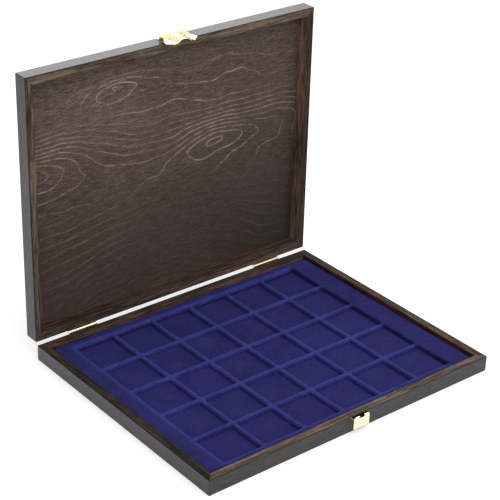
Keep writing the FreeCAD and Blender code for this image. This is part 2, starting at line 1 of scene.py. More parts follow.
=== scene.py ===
"""Wooden coin case with a velour tray and brass fittings, dressed and staged.

Every length is in metres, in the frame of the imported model: the origin is the centre of the
underside, X runs along the hinges, Y to the back and Z up.
"""

import math
from typing import NamedTuple

import bpy
from bpy.props import FloatProperty, FloatVectorProperty, IntProperty, PointerProperty
from mathutils import Matrix, Vector, noise


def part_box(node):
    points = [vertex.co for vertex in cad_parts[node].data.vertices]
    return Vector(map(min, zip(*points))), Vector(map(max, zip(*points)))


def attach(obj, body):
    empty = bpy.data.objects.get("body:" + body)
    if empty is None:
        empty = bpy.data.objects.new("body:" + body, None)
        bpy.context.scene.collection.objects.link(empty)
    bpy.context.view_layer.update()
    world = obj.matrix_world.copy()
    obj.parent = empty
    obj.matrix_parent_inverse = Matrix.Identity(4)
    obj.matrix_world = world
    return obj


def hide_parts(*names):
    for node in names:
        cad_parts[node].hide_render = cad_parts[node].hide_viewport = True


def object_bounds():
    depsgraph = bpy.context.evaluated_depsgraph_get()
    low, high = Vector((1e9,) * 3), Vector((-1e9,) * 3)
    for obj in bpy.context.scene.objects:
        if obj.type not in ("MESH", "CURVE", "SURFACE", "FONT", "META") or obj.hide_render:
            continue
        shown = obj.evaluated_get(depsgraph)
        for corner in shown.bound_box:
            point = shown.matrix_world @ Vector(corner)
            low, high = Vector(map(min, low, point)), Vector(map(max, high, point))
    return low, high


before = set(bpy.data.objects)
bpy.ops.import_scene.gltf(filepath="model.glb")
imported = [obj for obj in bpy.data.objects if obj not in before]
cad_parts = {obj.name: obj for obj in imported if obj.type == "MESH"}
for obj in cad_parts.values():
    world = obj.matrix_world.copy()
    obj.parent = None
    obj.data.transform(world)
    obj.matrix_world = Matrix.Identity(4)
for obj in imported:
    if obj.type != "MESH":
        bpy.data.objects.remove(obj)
CAD_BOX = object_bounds()

bl_info = {
    "name": "Coin case",
    "version": (1, 0, 0),
    "blender": (4, 5, 0),
    "location": "3D View > Sidebar > Coin case",
    "description": "Finishes a wooden coin case with a velour tray and brass fittings",
    "category": "Object",
}

X_AXIS, Y_AXIS, Z_AXIS = 0, 1, 2
LEFT, RIGHT = (-1, 0, 0), (1, 0, 0)
FRONT, BACK = (0, -1, 0), (0, 1, 0)
DOWN, UP = (0, 0, -1), (0, 0, 1)


# Pieces and how each is finished


class Rail(NamedTuple):
    """A wooden rail."""

    piece: str
    axis: int               # axis that its grain runs along
    outer_ways: tuple       # ways that its polished outer faces look
    inner_way: tuple        # way that its inner face looks
    rim_stain_and_light: float        # how light its rim is: stain, and painted light and shade that differ from rail to rail
    inner_stain_and_light: tuple      # how light each colour lies on its inner face: stain, and painted light and shade that differ from rail to rail
    painted_lightness: float        # how light its polished faces are, as painted light and shade


RAILS = (
    Rail("base_front_rail", X_AXIS, (FRONT, DOWN), BACK, 1.42, (0.30, 0.26, 0.25), 1.0),
    Rail("base_back_rail", X_AXIS, (BACK, DOWN), FRONT, 0.52, (1.05, 0.80, 0.80), 1.0),
    Rail("base_left_rail", Y_AXIS, (LEFT, DOWN), RIGHT, 0.34, (0.26, 0.22, 0.21), 0.6),
    Rail("base_right_rail", Y_AXIS, (RIGHT, DOWN), LEFT, 0.66, (0.58, 0.24, 0.17), 1.0),
    Rail("lid_front_rail", X_AXIS, (UP, BACK), DOWN, 1.36, (0.80, 0.69, 0.66), 1.0),
    Rail("lid_back_rail", X_AXIS, (DOWN, BACK), UP, 1.10, (0.72, 0.62, 0.59), 1.0),
    Rail("lid_left_rail", Z_AXIS, (LEFT, BACK), RIGHT, 1.14, (0.80, 0.69, 0.66), 1.1),
    Rail("lid_right_rail", Z_AXIS, (RIGHT, BACK), LEFT, 0.48, (1.75, 1.50, 1.43), 1.0),
)


class Oval(NamedTuple):
    """A hill in the veneer's growth, with the growth lines in rings round it."""

    right: float            # its middle along X
    rise: float             # and along the axis that the lines climb
    half_width: float
    half_height: float
    tilt: float             # turn in the board's plane, in radians
    lift: float             # how many lines it moves the growth by
    clear: float            # how clearly the lines show on it


class Board(NamedTuple):
    """A veneered board."""

    piece: str
    finish: str
    up: int                 # axis that the growth lines climb
    outer_way: tuple        # way that its polished outer face looks
    seed: float
    face: float             # where the ovals' middles lie on the axis through the board
    shade: tuple            # heights of its painted shade's darkest foot and of that shade's end, or none
    ovals: tuple


BOARDS = (
    Board("lid_panel", "lid_board", Z_AXIS, BACK, 3.0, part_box("lid_panel")[0].y,
          (0.035, 0.215), (
              Oval(0.062, 0.153, 0.180, 0.041, math.radians(-4.0), -6.4, 2.0),
              Oval(-0.165, 0.168, 0.170, 0.050, 0.0, -8.5, 2.4),
              Oval(-0.050, 0.226, 0.066, 0.022, 0.0, -3.4, 1.5),
              Oval(0.070, 0.226, 0.046, 0.022, math.radians(24.0), -0.7, 0.8),
              Oval(-0.010, 0.010, 0.190, 0.140, 0.0, -9.0, 0.0),
              Oval(-0.095, 0.095, 0.090, 0.085, 0.0, 0.0, 0.55),
              Oval(0.030, 0.204, 0.150, 0.034, 0.0, 0.0, 1.2),
              Oval(0.104, 0.046, 0.034, 0.020, 0.0, 0.0, 0.3),
          )),
    Board("base_panel", "base_board", Y_AXIS, DOWN, 8.0, 0.0, None, (
        Oval(0.060, 0.040, 0.110, 0.050, 0.1, 5.0, 1.2),
        Oval(-0.070, -0.030, 0.120, 0.045, -0.1, 5.4, 1.2),
    )),
)
POLISHED_BRASS = (
    "left_hinge_base_leaf", "left_hinge_lid_leaf", "left_hinge_pin",
    "right_hinge_base_leaf", "right_hinge_lid_leaf", "right_hinge_pin",
    "base_hinge_nails", "lid_hinge_nails", "latch_plate", "latch_lever",
    "latch_pin", "latch_nails",
)
CATCH_BRASS = ("catch_box", "catch_nails")


# Sizes and colours


class WoodSettings(bpy.types.PropertyGroup):
    """Stain and polish of the rails and boards, and the painted shade on the lid's board."""

    dark: FloatVectorProperty(
        name="Dark grain", description="Stain in the pores and the late wood",
        subtype="COLOR", default=(0.036, 0.023, 0.016), min=0.0, max=1.0)
    middle: FloatVectorProperty(
        name="Middle grain", description="The stain's main tone",
        subtype="COLOR", default=(0.088, 0.062, 0.045), min=0.0, max=1.0)
    light: FloatVectorProperty(
        name="Light grain", description="Where the stain took least",
        subtype="COLOR", default=(0.180, 0.132, 0.094), min=0.0, max=1.0)
    outer_dark: FloatVectorProperty(
        name="Outer dark", description="Dark grain of the polished outer faces",
        subtype="COLOR", default=(0.003, 0.003, 0.005), min=0.0, max=1.0)
    outer_light: FloatVectorProperty(
        name="Outer light", description="Light grain of the polished outer faces",
        subtype="COLOR", default=(0.054, 0.049, 0.057), min=0.0, max=1.0)
    outer_brown: FloatVectorProperty(
        name="Outer brown", description="Brown that shows through the polished faces",
        subtype="COLOR", default=(0.034, 0.025, 0.018), min=0.0, max=1.0)
    board_dark: FloatVectorProperty(
        name="Board dark", description="Dark streaks of the veneered boards",
        subtype="COLOR", default=(0.040, 0.028, 0.022), min=0.0, max=1.0)
    board_middle: FloatVectorProperty(
        name="Board middle", description="Main tone of the veneered boards",
        subtype="COLOR", default=(0.118, 0.087, 0.068), min=0.0, max=1.0)
    board_light: FloatVectorProperty(
        name="Board light", description="Light streaks of the veneered boards",
        subtype="COLOR", default=(0.240, 0.187, 0.147), min=0.0, max=1.0)
    # painted shade: the tone that the lid's board darkens to at its foot and its right side
    board_painted_shade: FloatVectorProperty(
        name="Board shade", description="Tone the lid's board darkens to at its foot",
        subtype="COLOR", default=(0.030, 0.020, 0.018), min=0.0, max=1.0)
    line_colour: FloatVectorProperty(
        name="Growth lines", description="The pale lines that wander over the boards",
        subtype="COLOR", default=(0.48, 0.385, 0.29), min=0.0, max=1.0)
    lines_per_metre: FloatProperty(
        name="Growth lines per metre", description="How close the growth lines lie",
        default=76.0, min=5.0, max=400.0)
    polish: FloatProperty(
        name="Polish", description="How much clear polish lies on the outer faces",
        subtype="FACTOR", default=0.64, min=0.0, max=1.0)
    arris: FloatProperty(
        name="Dark arris", description="How far the polish runs over the outer edges",
        subtype="DISTANCE", unit="LENGTH", default=0.0017, min=0.0001, max=0.01)


class TraySettings(bpy.types.PropertyGroup):
    """Shape and colour of the velour tray, with its painted highlights and shade."""

    columns: IntProperty(
        name="Columns", description="Compartments along the case", default=6, min=1, max=20)
    rows: IntProperty(
        name="Rows", description="Compartments from front to back", default=5, min=1, max=20)
    side_margin: FloatProperty(
        name="Side margin", description="Velour left and right of the compartments",
        subtype="DISTANCE", unit="LENGTH", default=0.0207, min=0.002, max=0.2)
    end_margin: FloatProperty(
        name="End margin", description="Velour in front of and behind the compartments",
        subtype="DISTANCE", unit="LENGTH", default=0.0093, min=0.002, max=0.2)
    rib_width: FloatProperty(
        name="Rib width", description="Width of the ribs between compartments",
        subtype="DISTANCE", unit="LENGTH", default=0.0043, min=0.001, max=0.02)
    cell_depth: FloatProperty(
        name="Compartment depth", description="From the ribs' tops to the floors",
        subtype="DISTANCE", unit="LENGTH", default=0.0042, min=0.001, max=0.03)
    rim_sink: FloatProperty(
        name="Rim sink", description="How far the rim lies below the solid tray's top",
        subtype="DISTANCE", unit="LENGTH", default=0.0012, min=0.0, max=0.01)
    sink: FloatProperty(
        name="Sink", description="How far the ribs' tops lie below the solid tray's top",
        subtype="DISTANCE", unit="LENGTH", default=0.0029, min=0.0, max=0.01)
    sag_reach: FloatProperty(
        name="Sag reach", description="How far in from the rim the velour sags to the ribs",
        subtype="DISTANCE", unit="LENGTH", default=0.0230, min=0.001, max=0.1)
    cell_corner: FloatProperty(
        name="Compartment corner", description="Corner radius of a compartment, from above",
        subtype="DISTANCE", unit="LENGTH", default=0.0012, min=0.001, max=0.01)
    tray_corner: FloatProperty(
        name="Tray corner", description="Corner radius of the whole tray, from above",
        subtype="DISTANCE", unit="LENGTH", default=0.0070, min=0.001, max=0.02)
    edge_round: FloatProperty(
        name="Edge rounding", description="How far the tray's rim turns over",
        subtype="DISTANCE", unit="LENGTH", default=0.0015, min=0.0002, max=0.004)
    crossing_dip: FloatProperty(
        name="Crossing dip", description="How far the velour sinks where ribs cross",
        subtype="DISTANCE", unit="LENGTH", default=0.0003, min=0.0, max=0.002)
    sheet: FloatProperty(
        name="Sheet", description="Thickness of the formed sheet and its pile",
        subtype="DISTANCE", unit="LENGTH", default=0.0009, min=0.0002, max=0.002)
    # the deep and the pile colours are the dark and light tones of a random mottle over the
    # whole velour
    deep_colour: FloatVectorProperty(
        name="Deep pile", description="Velour in the compartments",
        subtype="COLOR", default=(0.0150, 0.0135, 0.094), min=0.0, max=1.0)
    pile_colour: FloatVectorProperty(
        name="Pile", description="Velour that stands in the light",
        subtype="COLOR", default=(0.0255, 0.0255, 0.142), min=0.0, max=1.0)
    # painted highlight with some rubbed pile: the colour of the ribs' crowns and marked sides
    rib_rub_and_highlight_colour: FloatVectorProperty(
        name="Rubbed pile", description="Velour on the ribs' crowns",
        subtype="COLOR", default=(0.041, 0.050, 0.245), min=0.0, max=1.0)
    # painted shade on the ribs' steep sides outside the mark
    wall_shade_colour: FloatVectorProperty(
        name="Wall pile", description="Velour on the ribs' sides, where the pile looks away",
        subtype="COLOR", default=(0.0112, 0.0052, 0.051), min=0.0, max=1.0)
    sheen_colour: FloatVectorProperty(
        name="Sheen", description="Tint of the velour's sheen",
        subtype="COLOR", default=(0.30, 0.36, 1.0), min=0.0, max=1.0)


class BrassSettings(bpy.types.PropertyGroup):
    """Colour and wear of the hinges, the clasp and their nails, and the painted shade inside
    the catch.
    """

    colour: FloatVectorProperty(
        name="Brass", description="Polished brass",
        subtype="COLOR", default=(0.95, 0.87, 0.58), min=0.0, max=1.0)
    dull_colour: FloatVectorProperty(
        name="Dull brass", description="Brass that handling has dulled",
        subtype="COLOR", default=(0.74, 0.60, 0.30), min=0.0, max=1.0)
    roughness: FloatProperty(
        name="Roughness", description="Roughness of the polished brass",
        subtype="FACTOR", default=0.16, min=0.0, max=1.0)
    # painted shade: the dark colour inside the catch's box
    hollow_shade_colour: FloatVectorProperty(
        name="Inside the catch", description="Dull brass that the polish never reached",
        subtype="COLOR", default=(0.030, 0.022, 0.012), min=0.0, max=1.0)


class StageSettings(bpy.types.PropertyGroup):
    """Floor, lamps, surroundings and camera."""

    lens: FloatProperty(
        name="Lens", description="Focal length on a 36 mm wide sensor",
        subtype="DISTANCE_CAMERA", default=112.78, min=10.0, max=500.0)
    eye: FloatVectorProperty(
        name="Camera place", description="Where the camera stands",
        subtype="TRANSLATION", unit="LENGTH", precision=4,
        default=(-0.75326, -0.88556, 0.72828))
    azimuth: FloatProperty(
        name="Azimuth", description="Direction of view round the case, 0 from the front",
        subtype="ANGLE", default=math.radians(-39.700))
    elevation: FloatProperty(
        name="Elevation", description="How far above the horizon the camera stands",
        subtype="ANGLE", default=math.radians(27.889))
    roll: FloatProperty(
        name="Roll", description="Tilt of the camera about its line of sight",
        subtype="ANGLE", default=math.radians(1.870))
    floor_half: FloatProperty(
        name="Floor half width", description="Half the width of the floor",
        subtype="DISTANCE", unit="LENGTH", default=8.0, min=1.0, max=50.0)
    surround: FloatProperty(
        name="Surround", description="Soft light from all round",
        default=0.62, min=0.0, max=4.0)
    overhead: FloatProperty(
        name="Overhead lamp", description="Power of the soft lamp above the case",
        subtype="POWER", unit="POWER", default=12.0, min=0.0, max=500.0)
    far_side: FloatProperty(
        name="Far lamp", description="Power of the soft lamp beyond the case",
        subtype="POWER", unit="POWER", default=1.10, min=0.0, max=500.0)


# Nodes of the materials


# inputs and output of a Mix node that mixes colours. Named ranges of four numbers, below,
# are the ones that remap takes: low, high, and the values there.
MIX_AMOUNT, MIX_FIRST, MIX_SECOND, MIX_RESULT = 0, 6, 7, 2


class Pattern(NamedTuple):
    """A noise drawn out along the grain."""

    across: float           # cells per metre across the grain
    along: float            # cells per metre along it
    detail: float = 2.0
    roughness: float = 0.5
    distortion: float = 0.0


def new_finish(name):
    """A material with one plain shader: the material, its node tree and the shader."""
    finish = bpy.data.materials.new(name)
    finish.use_nodes = True
    tree = finish.node_tree
    return finish, tree, tree.nodes["Principled BSDF"]


def add(tree, kind, operation=None, values=(), **settings):
    """A node with its settings and the values or links of its inputs, in order."""
    node = tree.nodes.new(kind)
    if operation is not None:
        node.operation = operation
    for key, value in settings.items():
        setattr(node, key, value)
    for place, value in enumerate(values):
        feed(tree, node.inputs[place], value)
    return node


def feed(tree, socket, value):
    """Links an output to the socket, or writes a plain value into it."""
    if value is None:
        return
    if isinstance(value, bpy.types.NodeSocket):
        tree.links.new(value, socket)
    else:
        socket.default_value = value


def math_node(tree, operation, *values):
    """The result of one sum on numbers."""
    return add(tree, "ShaderNodeMath", operation, values).outputs[0]


def weighted(tree, *parts):
    """The sum of (value, share) parts."""
    value, share = parts[-1]
    total = math_node(tree, "MULTIPLY", value, share)
    for value, share in reversed(parts[:-1]):
        total = math_node(tree, "MULTIPLY_ADD", value, share, total)
    return total


def highest(tree, values):
    """The highest of several values."""
    found = None
    for value in values:
        found = value if found is None else math_node(tree, "MAXIMUM", found, value)
    return found


def stretched(tree, source, scale, shift=(0.0, 0.0, 0.0)):
    """The coordinates of source, scaled along each axis and then shifted."""
    return add(tree, "ShaderNodeMapping", None, (source, shift, None, scale)).outputs[0]


def moved(tree, source, shift):
    """The coordinates of source, shifted."""
    return stretched(tree, source, (1.0, 1.0, 1.0), shift)


def split(tree, source):
    """The three parts of a vector."""
    return add(tree, "ShaderNodeSeparateXYZ", None, (source,)).outputs


def joined(tree, x, y, z):
    """A vector of three parts."""
    return add(tree, "ShaderNodeCombineXYZ", None, (x, y, z)).outputs[0]


def cloud(tree, source, pattern, coloured=False):
    """The pattern's noise, from 0 to 1, over coordinates that are already scaled."""
    node = add(tree, "ShaderNodeTexNoise", noise_dimensions="3D")
    feed(tree, node.inputs["Vector"], source)
    node.inputs["Scale"].default_value = 1.0
    node.inputs["Detail"].default_value = pattern.detail
    node.inputs["Roughness"].default_value = pattern.roughness
    node.inputs["Distortion"].default_value = pattern.distortion
    return node.outputs["Color"] if coloured else node.outputs[0]


def grain(tree, here, pattern, shift=(0.0, 0.0, 0.0), axis=X_AXIS, coloured=False):
    """The pattern's noise, drawn out along one axis."""
    scale = tuple(pattern.along if place == axis else pattern.across for place in range(3))
    return cloud(tree, stretched(tree, here, scale, shift), pattern, coloured)


def remap(tree, value, low, high, new_low=0.0, new_high=1.0):
    """Value moved smoothly from one range to another, and held inside it."""
    node = add(tree, "ShaderNodeMapRange", interpolation_type="SMOOTHSTEP")
    for place, number in enumerate((value, low, high, new_low, new_high)):
        feed(tree, node.inputs[place], number)
    return node.outputs[0]


def colours_over(tree, value, places, colours):
    """A colour ramp over value, with each colour at its place."""
    node = add(tree, "ShaderNodeValToRGB", None, (value,))
    ramp = node.color_ramp
    while len(ramp.elements) < len(places):
        ramp.elements.new(0.5)
    for element, place, colour in zip(ramp.elements, places, colours):
        element.position = place
        element.color = (*colour, 1.0)
    return node.outputs[0]


def blended(tree, amount, first, second, how="MIX"):
    """Two colours blended by amount."""
    node = add(tree, "ShaderNodeMix", data_type="RGBA", blend_type=how)
    feed(tree, node.inputs[MIX_AMOUNT], amount)
    for place, colour in ((MIX_FIRST, first), (MIX_SECOND, second)):
        if not isinstance(colour, bpy.types.NodeSocket):
            colour = (*colour, 1.0)
        feed(tree, node.inputs[place], colour)
    return node.outputs[MIX_RESULT]


def relief(tree, shader, height, depth, strength):
    """Bump on the shader from a height from 0 to 1, depth metres deep."""
    node = add(tree, "ShaderNodeBump")
    node.inputs["Strength"].default_value = strength
    node.inputs["Distance"].default_value = depth
    feed(tree, node.inputs["Height"], height)
    tree.links.new(node.outputs[0], shader.inputs["Normal"])


def paint(nodes, finish):
    """Puts the finish on carried-over pieces of the frame."""
    for name in nodes:
        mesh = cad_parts[name].data
        mesh.materials.clear()
        mesh.materials.append(finish)


# Wood


# how squarely a face looks a way: hardly, and fully
FACING = (0.35, 0.80)
# gloss of the sanded wood, roughness of the polish, and how much smoother it makes the wood
SANDED_SHINE = 0.10
POLISH_ROUGHNESS = 0.17
POLISH_SMOOTHS = 0.18
# places of the tones in the mixed grain, and the patches where brown shows through
OUTER_TONES = (0.42, 0.59)
OUTER_BROWN = (0.46, 0.62, 0.0, 0.65)
RAIL_TONES = (0.43, 0.50, 0.58)
BOARD_TONES = (0.37, 0.50, 0.63)
# roughness over the fibres
RAIL_ROUGHNESS = (0.3, 0.7, 0.60, 0.74)
BOARD_ROUGHNESS = (0.3, 0.7, 0.60, 0.72)
# depth of the relief in metres, and its strength
RAIL_RELIEF = (0.00010, 0.5)
BOARD_RELIEF = (0.00008, 0.45)

RAIL_FIBRES = Pattern(640.0, 42.0, 4.0, 0.72, 0.2)
RAIL_FIGURE = Pattern(190.0, 9.0, 3.0, 0.60, 0.8)
RAIL_PATCHES = Pattern(42.0, 14.0)
RAIL_FLECKS = Pattern(1300.0, 120.0, 1.0)
RAIL_SHIFT = (1.7, 2.3, 3.1)
# flecks that are pores, how dark and deep they are, and how dark the outer edges are
PORES = (0.58, 0.68)
PORE_DEPTH = 0.6
ARRIS_DARKNESS = 0.80

BOARD_FINE = Pattern(1300.0, 420.0, 3.0, 0.74)
BOARD_DASHES = Pattern(760.0, 84.0, 2.0, 0.62, 0.2)
BOARD_PATCHES = Pattern(12.0, 9.0)
# bands that follow the growth: cells per growth line, and per metre up the board
BOARD_BANDS = Pattern(1.6, 8.0, 3.0, 0.6)
BAND_LAYER = 4.0
DASHES_FOLLOW = 2.5
BOARD_SHIFT = (1.3, 0.7, 2.9)
# contrast of the lid's grain over its height, and the painted shade at its foot and to the
# right
LID_CONTRAST = (0.06, 0.22, 0.80, 1.12)
SHADE_DEPTH = 0.50
SIDE_SHADE = (0.0, 0.13, 0.0, 0.24)

GROWTH_DRIFT = Pattern(8.0, 4.0, 1.0)
GROWTH_RIPPLE = Pattern(30.0, 18.0)
GROWTH_WANDER = Pattern(22.0, 13.0)
# how many lines the drift and the ripple move the growth by
DRIFT_LINES = 3.0
RIPPLE_LINES = 1.6
# how far ovals are pushed to and fro, and how much their hills rise to a point
WANDER_REACH = (0.060, 0.013, 0.013)
HILL_SHARPNESS = 1.5
# step over which the field's slope is taken, and the least slope, in lines per metre
SLOPE_STEP = 0.0004
LEAST_SLOPE = 30.0
# pale lines: how they and their halos fade with the distance from a line's middle
LINE_EDGE = (0.00018, 0.00056, 1.0, 0.0)
HALO_EDGE = (0.0005, 0.0024, 0.26, 0.0)
LINE_STRENGTH = 0.84
# where lines break, where they fade, and how much clearer they are on the ovals
LINE_GAPS = Pattern(190.0, 120.0, 2.0, 0.6)
LINE_FADES = Pattern(22.0, 16.0, 2.0, 0.6)
GAP_STRENGTH = (0.38, 0.58, 0.30, 1.0)
FADE_STRENGTH = (0.38, 0.58, 0.42, 1.0)
OVAL_STRENGTH = (0.0, 0.9, 0.07, 1.0)


def share_of(tree, source, way):
    """How far a vector points one way."""
    return add(tree, "ShaderNodeVectorMath", "DOT_PRODUCT", (source, way)).outputs["Value"]


def faces_that_look(tree, coordinates, ways):
    """1 on the faces that look one of the ways, as the piece itself lies, otherwise 0."""
    normal = coordinates.outputs["Normal"]
    return highest(tree, [remap(tree, share_of(tree, normal, way), *FACING) for way in ways])


def near_arris(tree, here, piece, ways, reach):
    """1 close to the outer faces of a piece, 0 farther in than reach."""
    found = []
    for way in ways:
        outermost = max(corner.dot(Vector(way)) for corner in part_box(piece))
        place = share_of(tree, here, way)
        found.append(remap(tree, place, outermost - reach, outermost))
    return highest(tree, found)


def polish_outside(tree, shader, outer, matt, settings):
    """Clear polish on the outer faces; rims and insides stay as matt as they are sanded."""
    shader.inputs["Specular IOR Level"].default_value = SANDED_SHINE
    shader.inputs["Coat Roughness"].default_value = POLISH_ROUGHNESS
    feed(tree, shader.inputs["Coat Weight"],
         math_node(tree, "MULTIPLY", outer, settings.polish))
    smoother = math_node(tree, "MULTIPLY", outer, -POLISH_SMOOTHS)
    feed(tree, shader.inputs["Roughness"], math_node(tree, "ADD", matt, smoother))


def outer_skin(tree, mixed, patches, settings, painted_lightness=1.0):
    """Colour of the polished faces: nearly black stain, a little browner in patches, and
    lighter or darker as painted light and shade.
    """
    light = tuple(part * painted_lightness for part in settings.outer_light)
    skin = colours_over(tree, mixed, OUTER_TONES, (settings.outer_dark, light))
    return blended(tree, remap(tree, patches, *OUTER_BROWN), skin, settings.outer_brown)


def stained_wood(rail, seed, settings):
    """Close-grained hardwood under dark stain, polished on its outer faces, with painted light
    and shade on its rim, inner face and polished faces.
    """
    finish, tree, shader = new_finish("stained_wood_" + rail.piece)
    coordinates = add(tree, "ShaderNodeTexCoord")
    here = coordinates.outputs["Object"]
    shift = tuple(seed * part for part in RAIL_SHIFT)
    fibres, figure, patches, flecks = (
        grain(tree, here, pattern, shift, rail.axis)
        for pattern in (RAIL_FIBRES, RAIL_FIGURE, RAIL_PATCHES, RAIL_FLECKS))
    mixed = weighted(tree, (fibres, 0.52), (figure, 0.30), (patches, 0.18))
    colour = colours_over(tree, mixed, RAIL_TONES,
                          (settings.dark, settings.middle, settings.light))
    # painted light and shade: each rail's rim and inner face are made lighter or darker on top
    # of its stain
    inner = faces_that_look(tree, coordinates, (rail.inner_way,))
    stain = blended(tree, inner, (rail.rim_stain_and_light,) * 3, rail.inner_stain_and_light)
    colour = blended(tree, 1.0, colour, stain, "MULTIPLY")
    pores = remap(tree, flecks, *PORES)
    colour = blended(tree, math_node(tree, "MULTIPLY", pores, PORE_DEPTH), colour,
                     tuple(part * min(rail.rim_stain_and_light, 1.0) for part in settings.dark))
    arris = near_arris(tree, here, rail.piece, rail.outer_ways, settings.arris)
    colour = blended(tree, math_node(tree, "MULTIPLY", arris, ARRIS_DARKNESS), colour,
                     settings.outer_dark)
    outer = faces_that_look(tree, coordinates, rail.outer_ways)
    speckled = weighted(tree, (flecks, 0.40), (mixed, 0.60))
    # painted light and shade: the polished faces of some rails are made lighter or darker
    skin = outer_skin(tree, speckled, patches, settings, rail.painted_lightness)
    feed(tree, shader.inputs["Base Color"], blended(tree, outer, colour, skin))
    polish_outside(tree, shader, outer, remap(tree, fibres, *RAIL_ROUGHNESS), settings)
    height = math_node(tree, "SUBTRACT", fibres,
                       math_node(tree, "MULTIPLY", pores, PORE_DEPTH))
    relief(tree, shader, height, *RAIL_RELIEF)
    return finish


def oval_hill(tree, here, oval, board):
    """An oval hill, 1 at its sharp middle and 0 from its reach on."""
    through = Y_AXIS if board.up == Z_AXIS else Z_AXIS
    place, reach, turn = [0.0] * 3, [1.0] * 3, [0.0] * 3
    place[X_AXIS], place[board.up], place[through] = oval.right, oval.rise, board.face
    reach[X_AXIS], reach[board.up] = oval.half_width, oval.half_height
    turn[through] = oval.tilt
    turned = add(tree, "ShaderNodeMapping", None, (here, place, turn, reach),
                 vector_type="TEXTURE").outputs[0]
    hill = add(tree, "ShaderNodeTexGradient", None, (turned,),
               gradient_type="SPHERICAL").outputs[1]
    return math_node(tree, "POWER", hill, HILL_SHARPNESS)


def wandering(tree, here, shift):
    """The coordinates pushed a little to and fro, so that ovals grow uneven."""
    push = grain(tree, here, GROWTH_WANDER, shift, coloured=True)
    pushed = add(tree, "ShaderNodeVectorMath", "MULTIPLY_ADD",
                 (push, WANDER_REACH, here)).outputs[0]
    return moved(tree, pushed, tuple(-part / 2 for part in WANDER_REACH))


def growth_field(tree, here, board, shift, settings):
    """A height whose whole numbers are the growth lines, and how clearly they show."""
    rise = split(tree, here)[board.up]
    drift = grain(tree, here, GROWTH_DRIFT, shift)
    ripple = grain(tree, here, GROWTH_RIPPLE, shift)
    field = weighted(tree, (ripple, RIPPLE_LINES), (drift, DRIFT_LINES),
                     (rise, settings.lines_per_metre))
    bent = wandering(tree, here, shift)
    shown = 0.0
    for oval in board.ovals:
        hill = oval_hill(tree, bent, oval, board)
        if oval.lift:
            field = math_node(tree, "MULTIPLY_ADD", hill, oval.lift, field)
        shown = math_node(tree, "MULTIPLY_ADD", hill, oval.clear, shown)
    return field, shown


def slope_of_field(tree, here, board, field, shift, settings):
    """How steep the field is, per metre, so that every line can be drawn equally wide."""
    steepness = 0.0
    for axis in (X_AXIS, board.up):
        aside = tuple(SLOPE_STEP if place == axis else 0.0 for place in range(3))
        beside, _ = growth_field(tree, moved(tree, here, aside), board, shift, settings)
        rate = math_node(tree, "DIVIDE", math_node(tree, "SUBTRACT", beside, field),
                         SLOPE_STEP)
        steepness = math_node(tree, "MULTIPLY_ADD", rate, rate, steepness)
    return math_node(tree, "MAXIMUM", math_node(tree, "SQRT", steepness), LEAST_SLOPE)


def veneer_grain(tree, here, board, field, shift):
    """The veneer's fine grain, its patches, and all of its grain mixed."""
    parts = split(tree, here)
    across, rise = parts[X_AXIS], parts[board.up]
    fine = grain(tree, here, BOARD_FINE, shift)
    lengthwise = joined(
        tree, math_node(tree, "MULTIPLY", across, BOARD_DASHES.along), board.seed,
        weighted(tree, (field, DASHES_FOLLOW), (rise, BOARD_DASHES.across)))
    dashes = cloud(tree, lengthwise, BOARD_DASHES)
    follow = joined(
        tree, math_node(tree, "MULTIPLY", rise, BOARD_BANDS.along), BAND_LAYER,
        math_node(tree, "MULTIPLY", field, BOARD_BANDS.across))
    bands = cloud(tree, follow, BOARD_BANDS)
    patches = grain(tree, here, BOARD_PATCHES, shift)
    mixed = weighted(tree, (fine, 0.40), (dashes, 0.36), (bands, 0.11), (patches, 0.13))
    return fine, patches, mixed


def veneer_colour(tree, here, board, mixed, settings):
    """Stained veneer without its growth lines, with painted shade towards the foot and the
    right side of a board that has it.
    """
    parts = split(tree, here)
    across, rise = parts[X_AXIS], parts[board.up]
    contrast = 1.0
    if board.shade is not None:
        contrast = remap(tree, rise, *LID_CONTRAST)
    streaks = math_node(tree, "MULTIPLY_ADD", math_node(tree, "SUBTRACT", mixed, 0.5),
                        contrast, 0.5)
    colour = colours_over(tree, streaks, BOARD_TONES, (
        settings.board_dark, settings.board_middle, settings.board_light))
    # painted shade, darker towards the board's foot and its right side
    if board.shade is not None:
        foot, head = board.shade
        deep = math_node(tree, "ADD", remap(tree, rise, head, foot, 0.0, SHADE_DEPTH),
                         remap(tree, across, *SIDE_SHADE))
        colour = blended(tree, deep, colour, settings.board_painted_shade)
    return colour


def pale_lines(tree, here, colour, field, slope, shown, shift, settings):
    """Growth lines over a colour, each in a lighter halo, some strong and most faint."""
    gap = math_node(tree, "DIVIDE", math_node(tree, "PINGPONG", field, 0.5), slope)
    broken = remap(tree, grain(tree, here, LINE_GAPS, shift), *GAP_STRENGTH)
    faded = remap(tree, grain(tree, here, LINE_FADES, shift), *FADE_STRENGTH)
    clear = math_node(tree, "MULTIPLY", remap(tree, shown, *OVAL_STRENGTH), faded)
    strength = math_node(tree, "MULTIPLY", clear, broken)
    halo = math_node(tree, "MULTIPLY", remap(tree, gap, *HALO_EDGE), strength)
    colour = blended(tree, halo, colour, settings.board_light)
    line = math_node(tree, "MULTIPLY", remap(tree, gap, *LINE_EDGE),
                     math_node(tree, "MULTIPLY", strength, LINE_STRENGTH))
    return blended(tree, line, colour, settings.line_colour)


